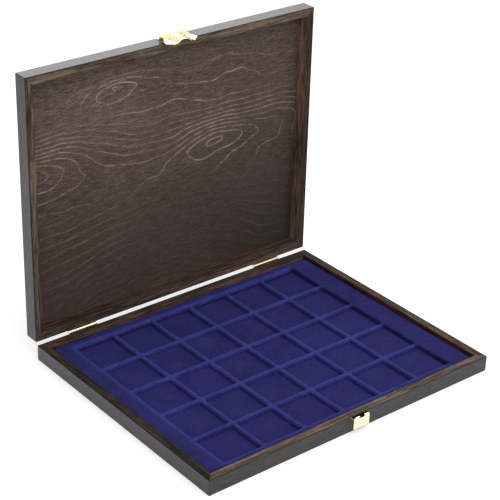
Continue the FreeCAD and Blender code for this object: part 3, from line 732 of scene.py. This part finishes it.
def veneered_board(board, settings):
    """Rotary-cut veneer: fine grain and pale growth lines that wander."""
    finish, tree, shader = new_finish(board.finish)
    coordinates = add(tree, "ShaderNodeTexCoord")
    here = coordinates.outputs["Object"]
    shift = tuple(board.seed * part for part in BOARD_SHIFT)
    field, shown = growth_field(tree, here, board, shift, settings)
    slope = slope_of_field(tree, here, board, field, shift, settings)
    fine, patches, mixed = veneer_grain(tree, here, board, field, shift)
    colour = veneer_colour(tree, here, board, mixed, settings)
    colour = pale_lines(tree, here, colour, field, slope, shown, shift, settings)
    outer = faces_that_look(tree, coordinates, (board.outer_way,))
    skin = outer_skin(tree, mixed, patches, settings)
    feed(tree, shader.inputs["Base Color"], blended(tree, outer, colour, skin))
    polish_outside(tree, shader, outer, remap(tree, fine, *BOARD_ROUGHNESS), settings)
    relief(tree, shader, fine, *BOARD_RELIEF)
    return finish


class COINCASE_OT_rails(bpy.types.Operator):
    """Stain and polish the eight wooden rails, each with the grain along its length and
    painted light and shade on its faces
    """

    bl_idname = "coin_case.rails"
    bl_label = "Finish the rails"
    bl_options = {"REGISTER", "UNDO"}

    def execute(self, context):
        settings = context.scene.coin_case_wood
        for seed, rail in enumerate(RAILS, start=1):
            paint([rail.piece], stained_wood(rail, seed, settings))
        return {"FINISHED"}


class COINCASE_OT_boards(bpy.types.Operator):
    """Veneer the lid's board, with painted shade at its foot and right side, and the base's
    board
    """

    bl_idname = "coin_case.boards"
    bl_label = "Finish the boards"
    bl_options = {"REGISTER", "UNDO"}

    def execute(self, context):
        settings = context.scene.coin_case_wood
        for board in BOARDS:
            paint([board.piece], veneered_board(board, settings))
        return {"FINISHED"}


# Brass


BRASS_PATCHES = Pattern(260.0, 260.0, 3.0, 0.6, 0.3)
ROLLING_MARKS = Pattern(2600.0, 180.0)
DULL_PATCHES = (0.52, 0.80, 0.0, 0.6)
ROUGH_PATCHES = (0.35, 0.75)
PATCH_ROUGHNESS = 0.12
HOLLOW_ROUGHNESS = 0.8
BRASS_RELIEF = (0.00005, 0.3)
# how far the catch's painted shade inside stands in from its sides, and from the left one
CATCH_WALL = 0.0006
CATCH_SIDE = CATCH_WALL / 6


def worn_brass(name, settings, hollow=None):
    """Bright plated brass with faint rolling marks and duller patches. Inside a hollow,
    a box of two corners, it has painted shade and is dull."""
    finish, tree, shader = new_finish(name)
    here = add(tree, "ShaderNodeTexCoord").outputs["Object"]
    patches = grain(tree, here, BRASS_PATCHES)
    marks = grain(tree, here, ROLLING_MARKS)
    colour = blended(tree, remap(tree, patches, *DULL_PATCHES), settings.colour,
                     settings.dull_colour)
    rough = remap(tree, patches, *ROUGH_PATCHES, settings.roughness,
                  settings.roughness + PATCH_ROUGHNESS)
    # painted shade inside the catch's box
    if hollow is not None:
        inside = 1.0
        for place, low, high in zip(split(tree, here), *hollow):
            inside = math_node(tree, "MULTIPLY", inside,
                               math_node(tree, "GREATER_THAN", place, low))
            inside = math_node(tree, "MULTIPLY", inside,
                               math_node(tree, "LESS_THAN", place, high))
        colour = blended(tree, inside, colour, settings.hollow_shade_colour)
        rough = math_node(tree, "MAXIMUM", rough,
                          math_node(tree, "MULTIPLY", inside, HOLLOW_ROUGHNESS))
    feed(tree, shader.inputs["Base Color"], colour)
    shader.inputs["Metallic"].default_value = 1.0
    feed(tree, shader.inputs["Roughness"], rough)
    relief(tree, shader, math_node(tree, "MULTIPLY_ADD", marks, 0.35, patches),
           *BRASS_RELIEF)
    return finish


class COINCASE_OT_brass(bpy.types.Operator):
    """Polish the hinges, the clasp and their nails"""

    bl_idname = "coin_case.brass"
    bl_label = "Finish the brass fittings"
    bl_options = {"REGISTER", "UNDO"}

    def execute(self, context):
        settings = context.scene.coin_case_brass
        paint(POLISHED_BRASS, worn_brass("polished_brass", settings))
        low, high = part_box("catch_box")
        hollow = ((low.x + CATCH_SIDE, low.y + CATCH_WALL, low.z - CATCH_WALL),
                  (high.x - CATCH_WALL, high.y + CATCH_WALL, high.z + CATCH_WALL))
        paint(CATCH_BRASS, worn_brass("catch_brass", settings, hollow))
        return {"FINISHED"}


# Velour tray


# points nearer than half a micrometre become one
POINTS_PER_METRE = 2.0e6
# a length that counts as nothing, and the decimals that rows of points are told apart by
TINY = 1.0e-7
DECIMALS = 8
# steps of a ring of points, round a corner and along a side
ARC_STEPS = 8
SIDE_STEPS = 8
QUARTER = math.radians(90.0)
# section of a rib: shares of half its width, out from its middle, each with the drop in
# metres over the crown and then as a share of the depth over its side and the floor
RIB_CROWN = ((0.25, 0.00006), (0.48, 0.00024), (0.68, 0.00055), (0.84, 0.00098),
             (0.97, 0.00160))
RIB_SIDE = ((1.08, 0.58), (1.18, 0.75), (1.27, 0.87), (1.38, 0.945), (1.60, 0.985),
            (2.4, 1.0), (3.6, 1.0), (6.2, 0.99))
# least corner radius down in a compartment, as a share of its radius at the top
LEAST_CORNER = 0.55
# reach of the dip where ribs cross, as a share of a rib's width
DIP_REACH = 0.75
# unevenness of the crowns and of the floors: waves per metre, height and layer
CROWN_WAVE = (55.0, 0.00012, 2.5)
FLOOR_WAVE = (90.0, 0.00010, 7.0)
# rows of points over the rim, in shares of its rounding, and over the rest of the margin
RIM_STEPS = (0.0, 0.04, 0.15, 0.35, 0.65, 1.1)
MARGIN_STEPS = (0.32, 0.55, 0.78)
CLEAR_OF_RIM = 1.5
SKIRT_STEPS = (0.35, 0.7, 1.0)
# the mark of rubbed pile and painted highlight: how much of the depth it fades over, how much
# higher it ends on sides that face left, leaving painted shade low on them, how fast it sets
# in, and the rib widths on the right left without it, in painted shade
MARK_FADE = 0.42
MARK_LEFT_RISE = 0.14
MARK_START = 1.6
UNMARKED_RIBS = 1.4

VELOUR_BRUSHED = Pattern(52.0, 38.0, 3.0, 0.6, 0.6)
VELOUR_MOTTLE = Pattern(420.0, 420.0, 2.0, 0.6)
VELOUR_PILE = Pattern(2400.0, 2400.0, 2.0, 0.6)
# places of its tones, how mottled the painted highlight on the ribs is, and which walls are
# steep enough for painted shade
VELOUR_TONES = (0.40, 0.60)
RUBBED_MOTTLE = (0.35, 0.65, 0.5, 1.0)
STEEP_WALLS = (0.30, 0.90, 1.0, 0.0)
WALL_SHADE_STRENGTH = 0.9
VELOUR_ROUGHNESS = 0.95
VELOUR_SHINE = 0.15
SHEEN_WEIGHT = 0.12
SHEEN_ROUGHNESS = 0.45
VELOUR_RELIEF = (0.00022, 0.6)


class Skin:
    """Collects faces and joins the points that fall together."""

    def __init__(self):
        self.points = []
        self.faces = []
        self.places = {}

    def point(self, place):
        """The number of the point at a place."""
        key = tuple(round(value * POINTS_PER_METRE) for value in place)
        if key not in self.places:
            self.places[key] = len(self.points)
            self.points.append(tuple(place))
        return self.places[key]

    def face(self, *corners):
        """A face, left out when its corners fall together."""
        loop = []
        for corner in corners:
            spot = self.point(corner)
            if spot not in loop:
                loop.append(spot)
        if len(loop) > 2:
            self.faces.append(loop)

    def bridge(self, outer, inner):
        """A band of faces between two closed rows of points, the outer row turning left."""
        count = len(outer)
        for place in range(count):
            after = (place + 1) % count
            self.face(outer[place], outer[after], inner[after], inner[place])


def corner_ring(half_x, half_y, radius, square=False):
    """Points round a rectangle with rounded corners, turning left. A square ring keeps the
    same points but pushes its corners out to the full rectangle."""
    ring = []
    signs = ((1, 1), (-1, 1), (-1, -1), (1, -1))
    for quarter, (sign_x, sign_y) in enumerate(signs):
        centre_x = sign_x * (half_x - radius)
        centre_y = sign_y * (half_y - radius)
        for step in range(ARC_STEPS + 1):
            angle = QUARTER * (quarter + step / ARC_STEPS)
            east, north = math.cos(angle), math.sin(angle)
            reach = radius
            if square:
                reach = radius / max(abs(east), abs(north))
            ring.append((centre_x + reach * east, centre_y + reach * north))
        next_x, next_y = signs[(quarter + 1) % 4]
        start = ring[-1]
        angle = QUARTER * (quarter + 1)
        end = (next_x * (half_x - radius) + radius * math.cos(angle),
               next_y * (half_y - radius) + radius * math.sin(angle))
        for step in range(1, SIDE_STEPS):
            share = step / SIDE_STEPS
            ring.append((start[0] + (end[0] - start[0]) * share,
                         start[1] + (end[1] - start[1]) * share))
    return ring


def unevenness(x, y, wave):
    """Height of the uneven velour at a place."""
    per_metre, height, layer = wave
    return height * noise.noise(Vector((x * per_metre, y * per_metre, layer)))


def from_rib(place, block, pitch):
    """Distance to the middle of the nearest rib, across the ribs."""
    count = (place + block) / pitch
    return abs(count - round(count)) * pitch


class TrayForm:
    """The tray's measures from its middle, and the velour skin laid over them."""

    def __init__(self, settings):
        low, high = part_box("coin_tray")
        self.settings = settings
        self.skin = Skin()
        self.middle = (low + high) / 2
        self.half_x = (high.x - low.x) / 2
        self.half_y = (high.y - low.y) / 2
        self.top, self.bottom = high.z, low.z
        self.rib = settings.rib_width
        self.pitch_x = (2 * (self.half_x - settings.side_margin) + self.rib) / settings.columns
        self.pitch_y = (2 * (self.half_y - settings.end_margin) + self.rib) / settings.rows
        self.block_x = self.pitch_x * settings.columns / 2
        self.block_y = self.pitch_y * settings.rows / 2
        self.outer_corner = settings.cell_corner + self.rib / 2

    def crown_height(self, x, y):
        """Height of the margins and ribs, which sag from the tray's rim inward."""
        reach = self.settings.sag_reach
        in_x = min(1.0, max(0.0, self.half_x - abs(x)) / reach)
        in_y = min(1.0, max(0.0, self.half_y - abs(y)) / reach)
        share = in_x ** 2 * (3 - 2 * in_x) * in_y ** 2 * (3 - 2 * in_y)
        rim = self.settings.rim_sink
        return self.top - rim - (self.settings.sink - rim) * share

    def rib_top(self, x, y):
        """Height of the ribs and margins, lower at a crossing and a little uneven."""
        dip = 0.0
        if abs(x) < self.block_x + self.rib and abs(y) < self.block_y + self.rib:
            near_x = from_rib(x, self.block_x, self.pitch_x)
            near_y = from_rib(y, self.block_y, self.pitch_y)
            spread = self.rib * DIP_REACH
            dip = self.settings.crossing_dip * math.exp(
                -(near_x ** 2 + near_y ** 2) / spread ** 2)
        return self.crown_height(x, y) - dip + unevenness(x, y, CROWN_WAVE)

    def floor_height(self, x, y):
        """Height of the compartments' floors, a little uneven."""
        level = self.top - self.settings.sink - self.settings.cell_depth
        return level + unevenness(x, y, FLOOR_WAVE)

    def compartment(self, column, row):
        """One compartment, from the crowns of the ribs round it down to its floor."""
        depth, edge = self.settings.cell_depth, self.rib / 2
        east = -self.block_x + self.pitch_x * (column + 0.5)
        north = -self.block_y + self.pitch_y * (row + 0.5)
        flat = corner_ring(self.pitch_x / 2, self.pitch_y / 2, self.outer_corner, square=True)
        before = [(east + x, north + y, self.rib_top(east + x, north + y)) for x, y in flat]
        section = [(edge * out, drop) for out, drop in RIB_CROWN]
        section += [(edge * out, depth * drop) for out, drop in RIB_SIDE]
        for inset, drop in section:
            corner = max(self.outer_corner - inset, self.settings.cell_corner * LEAST_CORNER)
            flat = corner_ring(self.pitch_x / 2 - inset, self.pitch_y / 2 - inset, corner)
            share = min(drop / depth, 1.0)
            ring = []
            for x, y in flat:
                place = (east + x, north + y)
                height = self.rib_top(*place) * (1 - share) + self.floor_height(*place) * share
                ring.append((*place, height))
            self.skin.bridge(before, ring)
            before = ring
        self.skin.face(*before)

    def steps_across(self, half, block, pitch, count):
        """Rows of points from rim to rim, on the compartments' own points between."""
        room = half - block
        steps = [self.settings.edge_round * share for share in RIM_STEPS]
        steps += [share * room for share in MARGIN_STEPS
                  if share * room > self.settings.edge_round * CLEAR_OF_RIM]
        between = set()
        flat = corner_ring(pitch / 2, pitch / 2, self.outer_corner, square=True)
        for number in range(count):
            for x, y in flat:
                if abs(y + pitch / 2) < TINY:
                    between.add(round(-block + pitch * (number + 0.5) + x, DECIMALS))
        rows = [step - half for step in steps] + sorted(between)
        return rows + [half - step for step in reversed(steps)]

    def rim_point(self, x, y):
        """A point of the margin, with the tray's corner and its rim rounded."""
        turn, corner = self.settings.edge_round, self.settings.tray_corner
        over_x = (abs(x) - (self.half_x - corner)) / corner
        over_y = (abs(y) - (self.half_y - corner)) / corner
        inward = min(self.half_x - abs(x), self.half_y - abs(y))
        if over_x > 0 and over_y > 0:
            share = max(over_x, over_y) / math.hypot(over_x, over_y)
            x = math.copysign(self.half_x - corner + over_x * share * corner, x)
            y = math.copysign(self.half_y - corner + over_y * share * corner, y)
            inward = corner * (1 - max(over_x, over_y))
        drop = 0.0
        if inward < turn:
            drop = turn - math.sqrt(max(0.0, turn ** 2 - (turn - inward) ** 2))
        return (x, y, self.rib_top(x, y) - drop)

    def margins(self):
        """The margins round the compartments, to the rounded rim, whose points it returns."""
        columns, rows = self.settings.columns, self.settings.rows
        all_x = self.steps_across(self.half_x, self.block_x, self.pitch_x, columns)
        all_y = self.steps_across(self.half_y, self.block_y, self.pitch_y, rows)
        spots = [[self.rim_point(x, y) for x in all_x] for y in all_y]
        for row in range(len(all_y) - 1):
            for column in range(len(all_x) - 1):
                mid_x = (all_x[column] + all_x[column + 1]) / 2
                mid_y = (all_y[row] + all_y[row + 1]) / 2
                if abs(mid_x) < self.block_x - TINY and abs(mid_y) < self.block_y - TINY:
                    continue
                self.skin.face(spots[row][column], spots[row][column + 1],
                               spots[row + 1][column + 1], spots[row + 1][column])
        rim = spots[0] + [row[-1] for row in spots[1:]]
        rim += list(reversed(spots[-1]))[1:]
        rim += [row[0] for row in reversed(spots[1:-1])]
        return rim

    def skirt(self, rim):
        """The skirt, from the rim down to the base's board."""
        above = rim
        for share in SKIRT_STEPS:
            below = [(x, y, height + (self.bottom - height) * share) for x, y, height in rim]
            self.skin.bridge(below, above)
            above = below

    def laid_skin(self):
        """Points and faces of the whole skin, in place in the case."""
        for column in range(self.settings.columns):
            for row in range(self.settings.rows):
                self.compartment(column, row)
        self.skirt(self.margins())
        points = [(x + self.middle.x, y + self.middle.y, z) for x, y, z in self.skin.points]
        return points, self.skin.faces

    def mark_rubbed_and_lit(self, mesh):
        """Marks the ribs down to their feet with rubbed pile and a painted highlight. On their
        left sides the mark ends higher, which leaves painted shade low on them, and the last
        rib on the right has none, which leaves it in painted shade."""
        right = self.half_x - self.settings.side_margin + self.rib
        back = self.half_y - self.settings.end_margin + self.rib
        last_x = right - UNMARKED_RIBS * self.rib
        marks = mesh.attributes.new("rubbed_and_lit", "FLOAT", "POINT")
        for vertex, mark in zip(mesh.vertices, marks.data):
            x, y = vertex.co.x - self.middle.x, vertex.co.y - self.middle.y
            fallen = (self.crown_height(x, y) - vertex.co.z) / self.settings.cell_depth
            # sides that face left keep the painted highlight only higher up, leaving painted
            # shade below, and the last rib on the right gets none
            faces_left = max(0.0, -vertex.normal.x)
            high = min(1.0, max(0.0, (1.0 - MARK_LEFT_RISE * faces_left - fallen) / MARK_FADE))
            inside = min(last_x - x, right + x, back - abs(y)) / self.rib
            mark.value = high * min(1.0, max(0.0, inside * MARK_START))


def royal_velour(settings):
    """Short dense pile: mottled, with sheen, a painted highlight on the rubbed ribs and
    painted shade on their steep sides.
    """
    finish, tree, shader = new_finish("royal_velour")
    coordinates = add(tree, "ShaderNodeTexCoord")
    here = coordinates.outputs["Object"]
    brushed, mottle, pile = (
        grain(tree, here, pattern) for pattern in (VELOUR_BRUSHED, VELOUR_MOTTLE, VELOUR_PILE))
    mixed = weighted(tree, (brushed, 0.4), (mottle, 0.38), (pile, 0.22))
    colour = colours_over(tree, mixed, VELOUR_TONES,
                          (settings.deep_colour, settings.pile_colour))
    # painted highlight, with some rubbed pile, where the ribs are marked
    rubbed_and_lit = add(tree, "ShaderNodeAttribute", attribute_name="rubbed_and_lit").outputs["Fac"]
    rubbed_and_lit = math_node(tree, "MULTIPLY", rubbed_and_lit, remap(tree, mixed, *RUBBED_MOTTLE))
    colour = blended(tree, rubbed_and_lit, colour, settings.rib_rub_and_highlight_colour)
    # painted shade on the steep sides outside the mark
    steep = remap(tree, split(tree, coordinates.outputs["Normal"])[Z_AXIS], *STEEP_WALLS)
    unmarked = math_node(tree, "SUBTRACT", 1.0, rubbed_and_lit)
    wall_shade = math_node(tree, "MULTIPLY", steep,
                     math_node(tree, "MULTIPLY", unmarked, WALL_SHADE_STRENGTH))
    colour = blended(tree, wall_shade, colour, settings.wall_shade_colour)
    feed(tree, shader.inputs["Base Color"], colour)
    shader.inputs["Roughness"].default_value = VELOUR_ROUGHNESS
    shader.inputs["Specular IOR Level"].default_value = VELOUR_SHINE
    shader.inputs["Sheen Weight"].default_value = SHEEN_WEIGHT
    shader.inputs["Sheen Roughness"].default_value = SHEEN_ROUGHNESS
    shader.inputs["Sheen Tint"].default_value = (*settings.sheen_colour, 1.0)
    relief(tree, shader, math_node(tree, "MULTIPLY_ADD", mottle, 0.7, pile), *VELOUR_RELIEF)
    return finish


class COINCASE_OT_tray(bpy.types.Operator):
    """Form the velour tray with its compartments"""

    bl_idname = "coin_case.tray"
    bl_label = "Make the velour tray"
    bl_options = {"REGISTER", "UNDO"}

    def execute(self, context):
        settings = context.scene.coin_case_tray
        form = TrayForm(settings)
        points, faces = form.laid_skin()
        mesh = bpy.data.meshes.new("velour_tray")
        mesh.from_pydata(points, [], faces)
        if mesh.validate():
            raise RuntimeError("the tray's mesh has faults")
        mesh.shade_smooth()
        form.mark_rubbed_and_lit(mesh)
        tray = bpy.data.objects.new("velour_tray", mesh)
        context.scene.collection.objects.link(tray)
        thick = tray.modifiers.new("sheet", "SOLIDIFY")
        thick.thickness = settings.sheet
        thick.offset = -1.0     # the sheet lies below the skin
        mesh.materials.append(royal_velour(settings))
        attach(tray, "tray")
        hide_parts("coin_tray")
        return {"FINISHED"}


# Stage


WHITE = (1.0, 1.0, 1.0, 1.0)
FLOOR_GREY = (0.80, 0.80, 0.80, 1.0)
# how brightly the floor and the backdrop shine where they are seen
FLOOR_GLOW = 0.46
BACKDROP_GLOW = 1.0
# width of the camera's sensor in millimetres, and the distances it sees between
SENSOR_WIDTH = 36.0
NEAREST, FARTHEST = 0.05, 40.0


class SoftLamp(NamedTuple):
    """A large soft lamp that points at a place."""

    name: str
    place: tuple
    aim: tuple
    width: float
    height: float
    colour: tuple


OVERHEAD_LAMP = SoftLamp("overhead_lamp", (0.10, -0.60, 1.6), (0.0, 0.0, 0.08), 1.6, 1.6,
                         (1.0, 1.0, 1.0))
FAR_LAMP = SoftLamp("far_lamp", (0.42, 0.55, 0.54), (0.02, 0.131, 0.261), 0.86, 0.22,
                    (0.92, 0.96, 1.0))


def seen_rays(tree):
    """1 for camera, glossy and transmission rays, otherwise 0."""
    rays = add(tree, "ShaderNodeLightPath")
    return highest(tree, [rays.outputs[kind] for kind in (
        "Is Camera Ray", "Is Glossy Ray", "Is Transmission Ray")])


def pale_floor(settings):
    """A flat pale floor that takes the case's shadow and looks white to camera and gloss."""
    half = settings.floor_half
    level = CAD_BOX[0].z
    mesh = bpy.data.meshes.new("floor")
    mesh.from_pydata([(-half, -half, level), (half, -half, level),
                      (half, half, level), (-half, half, level)], [], [(0, 1, 2, 3)])
    floor = bpy.data.objects.new("floor", mesh)
    bpy.context.scene.collection.objects.link(floor)
    finish = bpy.data.materials.new("pale_floor")
    finish.use_nodes = True
    tree = finish.node_tree
    tree.nodes.clear()
    matt = add(tree, "ShaderNodeBsdfDiffuse")
    matt.inputs["Color"].default_value = FLOOR_GREY
    glow = add(tree, "ShaderNodeEmission")
    feed(tree, glow.inputs["Strength"],
         math_node(tree, "MULTIPLY", seen_rays(tree), FLOOR_GLOW))
    both = add(tree, "ShaderNodeAddShader", None, (matt.outputs[0], glow.outputs[0]))
    out = add(tree, "ShaderNodeOutputMaterial")
    tree.links.new(both.outputs[0], out.inputs["Surface"])
    mesh.materials.append(finish)


def surroundings(settings):
    """Even soft light from all round, plain white where it is seen."""
    world = bpy.data.worlds.new("surroundings")
    bpy.context.scene.world = world
    world.use_nodes = True
    tree = world.node_tree
    tree.nodes.clear()
    lights = []
    for strength in (settings.surround, BACKDROP_GLOW):
        light = add(tree, "ShaderNodeBackground")
        light.inputs["Color"].default_value = WHITE
        light.inputs["Strength"].default_value = strength
        lights.append(light.outputs[0])
    either = add(tree, "ShaderNodeMixShader", None, (seen_rays(tree), *lights))
    out = add(tree, "ShaderNodeOutputWorld")
    tree.links.new(either.outputs[0], out.inputs["Surface"])


def hang_lamp(soft, power):
    """Hangs one soft lamp, itself unseen by the camera."""
    light = bpy.data.lights.new(soft.name, "AREA")
    light.shape = "RECTANGLE"
    light.size = soft.width
    light.size_y = soft.height
    light.energy = power
    light.color = soft.colour
    lamp = bpy.data.objects.new(soft.name, light)
    bpy.context.scene.collection.objects.link(lamp)
    lamp.location = soft.place
    sight = Vector(soft.aim) - Vector(soft.place)
    lamp.rotation_euler = sight.to_track_quat("-Z", "Y").to_euler()
    lamp.visible_camera = False


def camera_at_photo_angle(settings):
    """The camera, at the angle and distance the photograph was taken from."""
    data = bpy.data.cameras.new("camera")
    data.lens = settings.lens
    data.sensor_width = SENSOR_WIDTH
    data.clip_start, data.clip_end = NEAREST, FARTHEST
    camera = bpy.data.objects.new("camera", data)
    bpy.context.scene.collection.objects.link(camera)
    turn, rise = settings.azimuth, settings.elevation
    back = Vector((math.sin(turn) * math.cos(rise), -math.cos(turn) * math.cos(rise),
                   math.sin(rise)))
    level = Vector((0.0, 0.0, 1.0)).cross(back).normalized()
    upward = back.cross(level)
    right = math.cos(settings.roll) * level + math.sin(settings.roll) * upward
    above = math.cos(settings.roll) * upward - math.sin(settings.roll) * level
    axes = Matrix((right, above, back)).transposed().to_4x4()
    camera.matrix_world = Matrix.Translation(Vector(settings.eye)) @ axes
    bpy.context.scene.camera = camera


class COINCASE_OT_stage(bpy.types.Operator):
    """Lay the floor and set the surroundings, the lamps and the camera"""

    bl_idname = "coin_case.stage"
    bl_label = "Set the stage"
    bl_options = {"REGISTER", "UNDO"}

    def execute(self, context):
        settings = context.scene.coin_case_stage
        pale_floor(settings)
        surroundings(settings)
        hang_lamp(OVERHEAD_LAMP, settings.overhead)
        hang_lamp(FAR_LAMP, settings.far_side)
        camera_at_photo_angle(settings)
        context.scene.view_settings.view_transform = "Standard"
        return {"FINISHED"}


# Panel and running


class COINCASE_PT_panel(bpy.types.Panel):
    """Steps and settings of the coin case"""

    bl_idname = "COINCASE_PT_panel"
    bl_label = "Coin case"
    bl_space_type = "VIEW_3D"
    bl_region_type = "UI"
    bl_category = "Coin case"

    def draw(self, context):
        steps = (
            (COINCASE_OT_rails, "coin_case_wood"),
            (COINCASE_OT_boards, None),
            (COINCASE_OT_brass, "coin_case_brass"),
            (COINCASE_OT_tray, "coin_case_tray"),
            (COINCASE_OT_stage, "coin_case_stage"),
        )
        for step, group in steps:
            box = self.layout.box()
            box.operator(step.bl_idname)
            if group is not None:
                settings = getattr(context.scene, group)
                for name in settings.__annotations__:
                    box.prop(settings, name)


SETTINGS = {
    "coin_case_wood": WoodSettings,
    "coin_case_tray": TraySettings,
    "coin_case_brass": BrassSettings,
    "coin_case_stage": StageSettings,
}
CLASSES = (
    WoodSettings, TraySettings, BrassSettings, StageSettings,
    COINCASE_OT_rails, COINCASE_OT_boards, COINCASE_OT_brass, COINCASE_OT_tray,
    COINCASE_OT_stage, COINCASE_PT_panel,
)


def register():
    """Registers the classes and hangs the settings on the scene."""
    for item in CLASSES:
        bpy.utils.register_class(item)
    for name, group in SETTINGS.items():
        setattr(bpy.types.Scene, name, PointerProperty(type=group))


def unregister():
    """Undoes register."""
    for name in SETTINGS:
        delattr(bpy.types.Scene, name)
    for item in reversed(CLASSES):
        bpy.utils.unregister_class(item)


def main():
    """Finishes and stages the case."""
    register()
    bpy.ops.coin_case.rails()
    bpy.ops.coin_case.boards()
    bpy.ops.coin_case.brass()
    bpy.ops.coin_case.tray()
    bpy.ops.coin_case.stage()


if __name__ == "__main__":
    main()
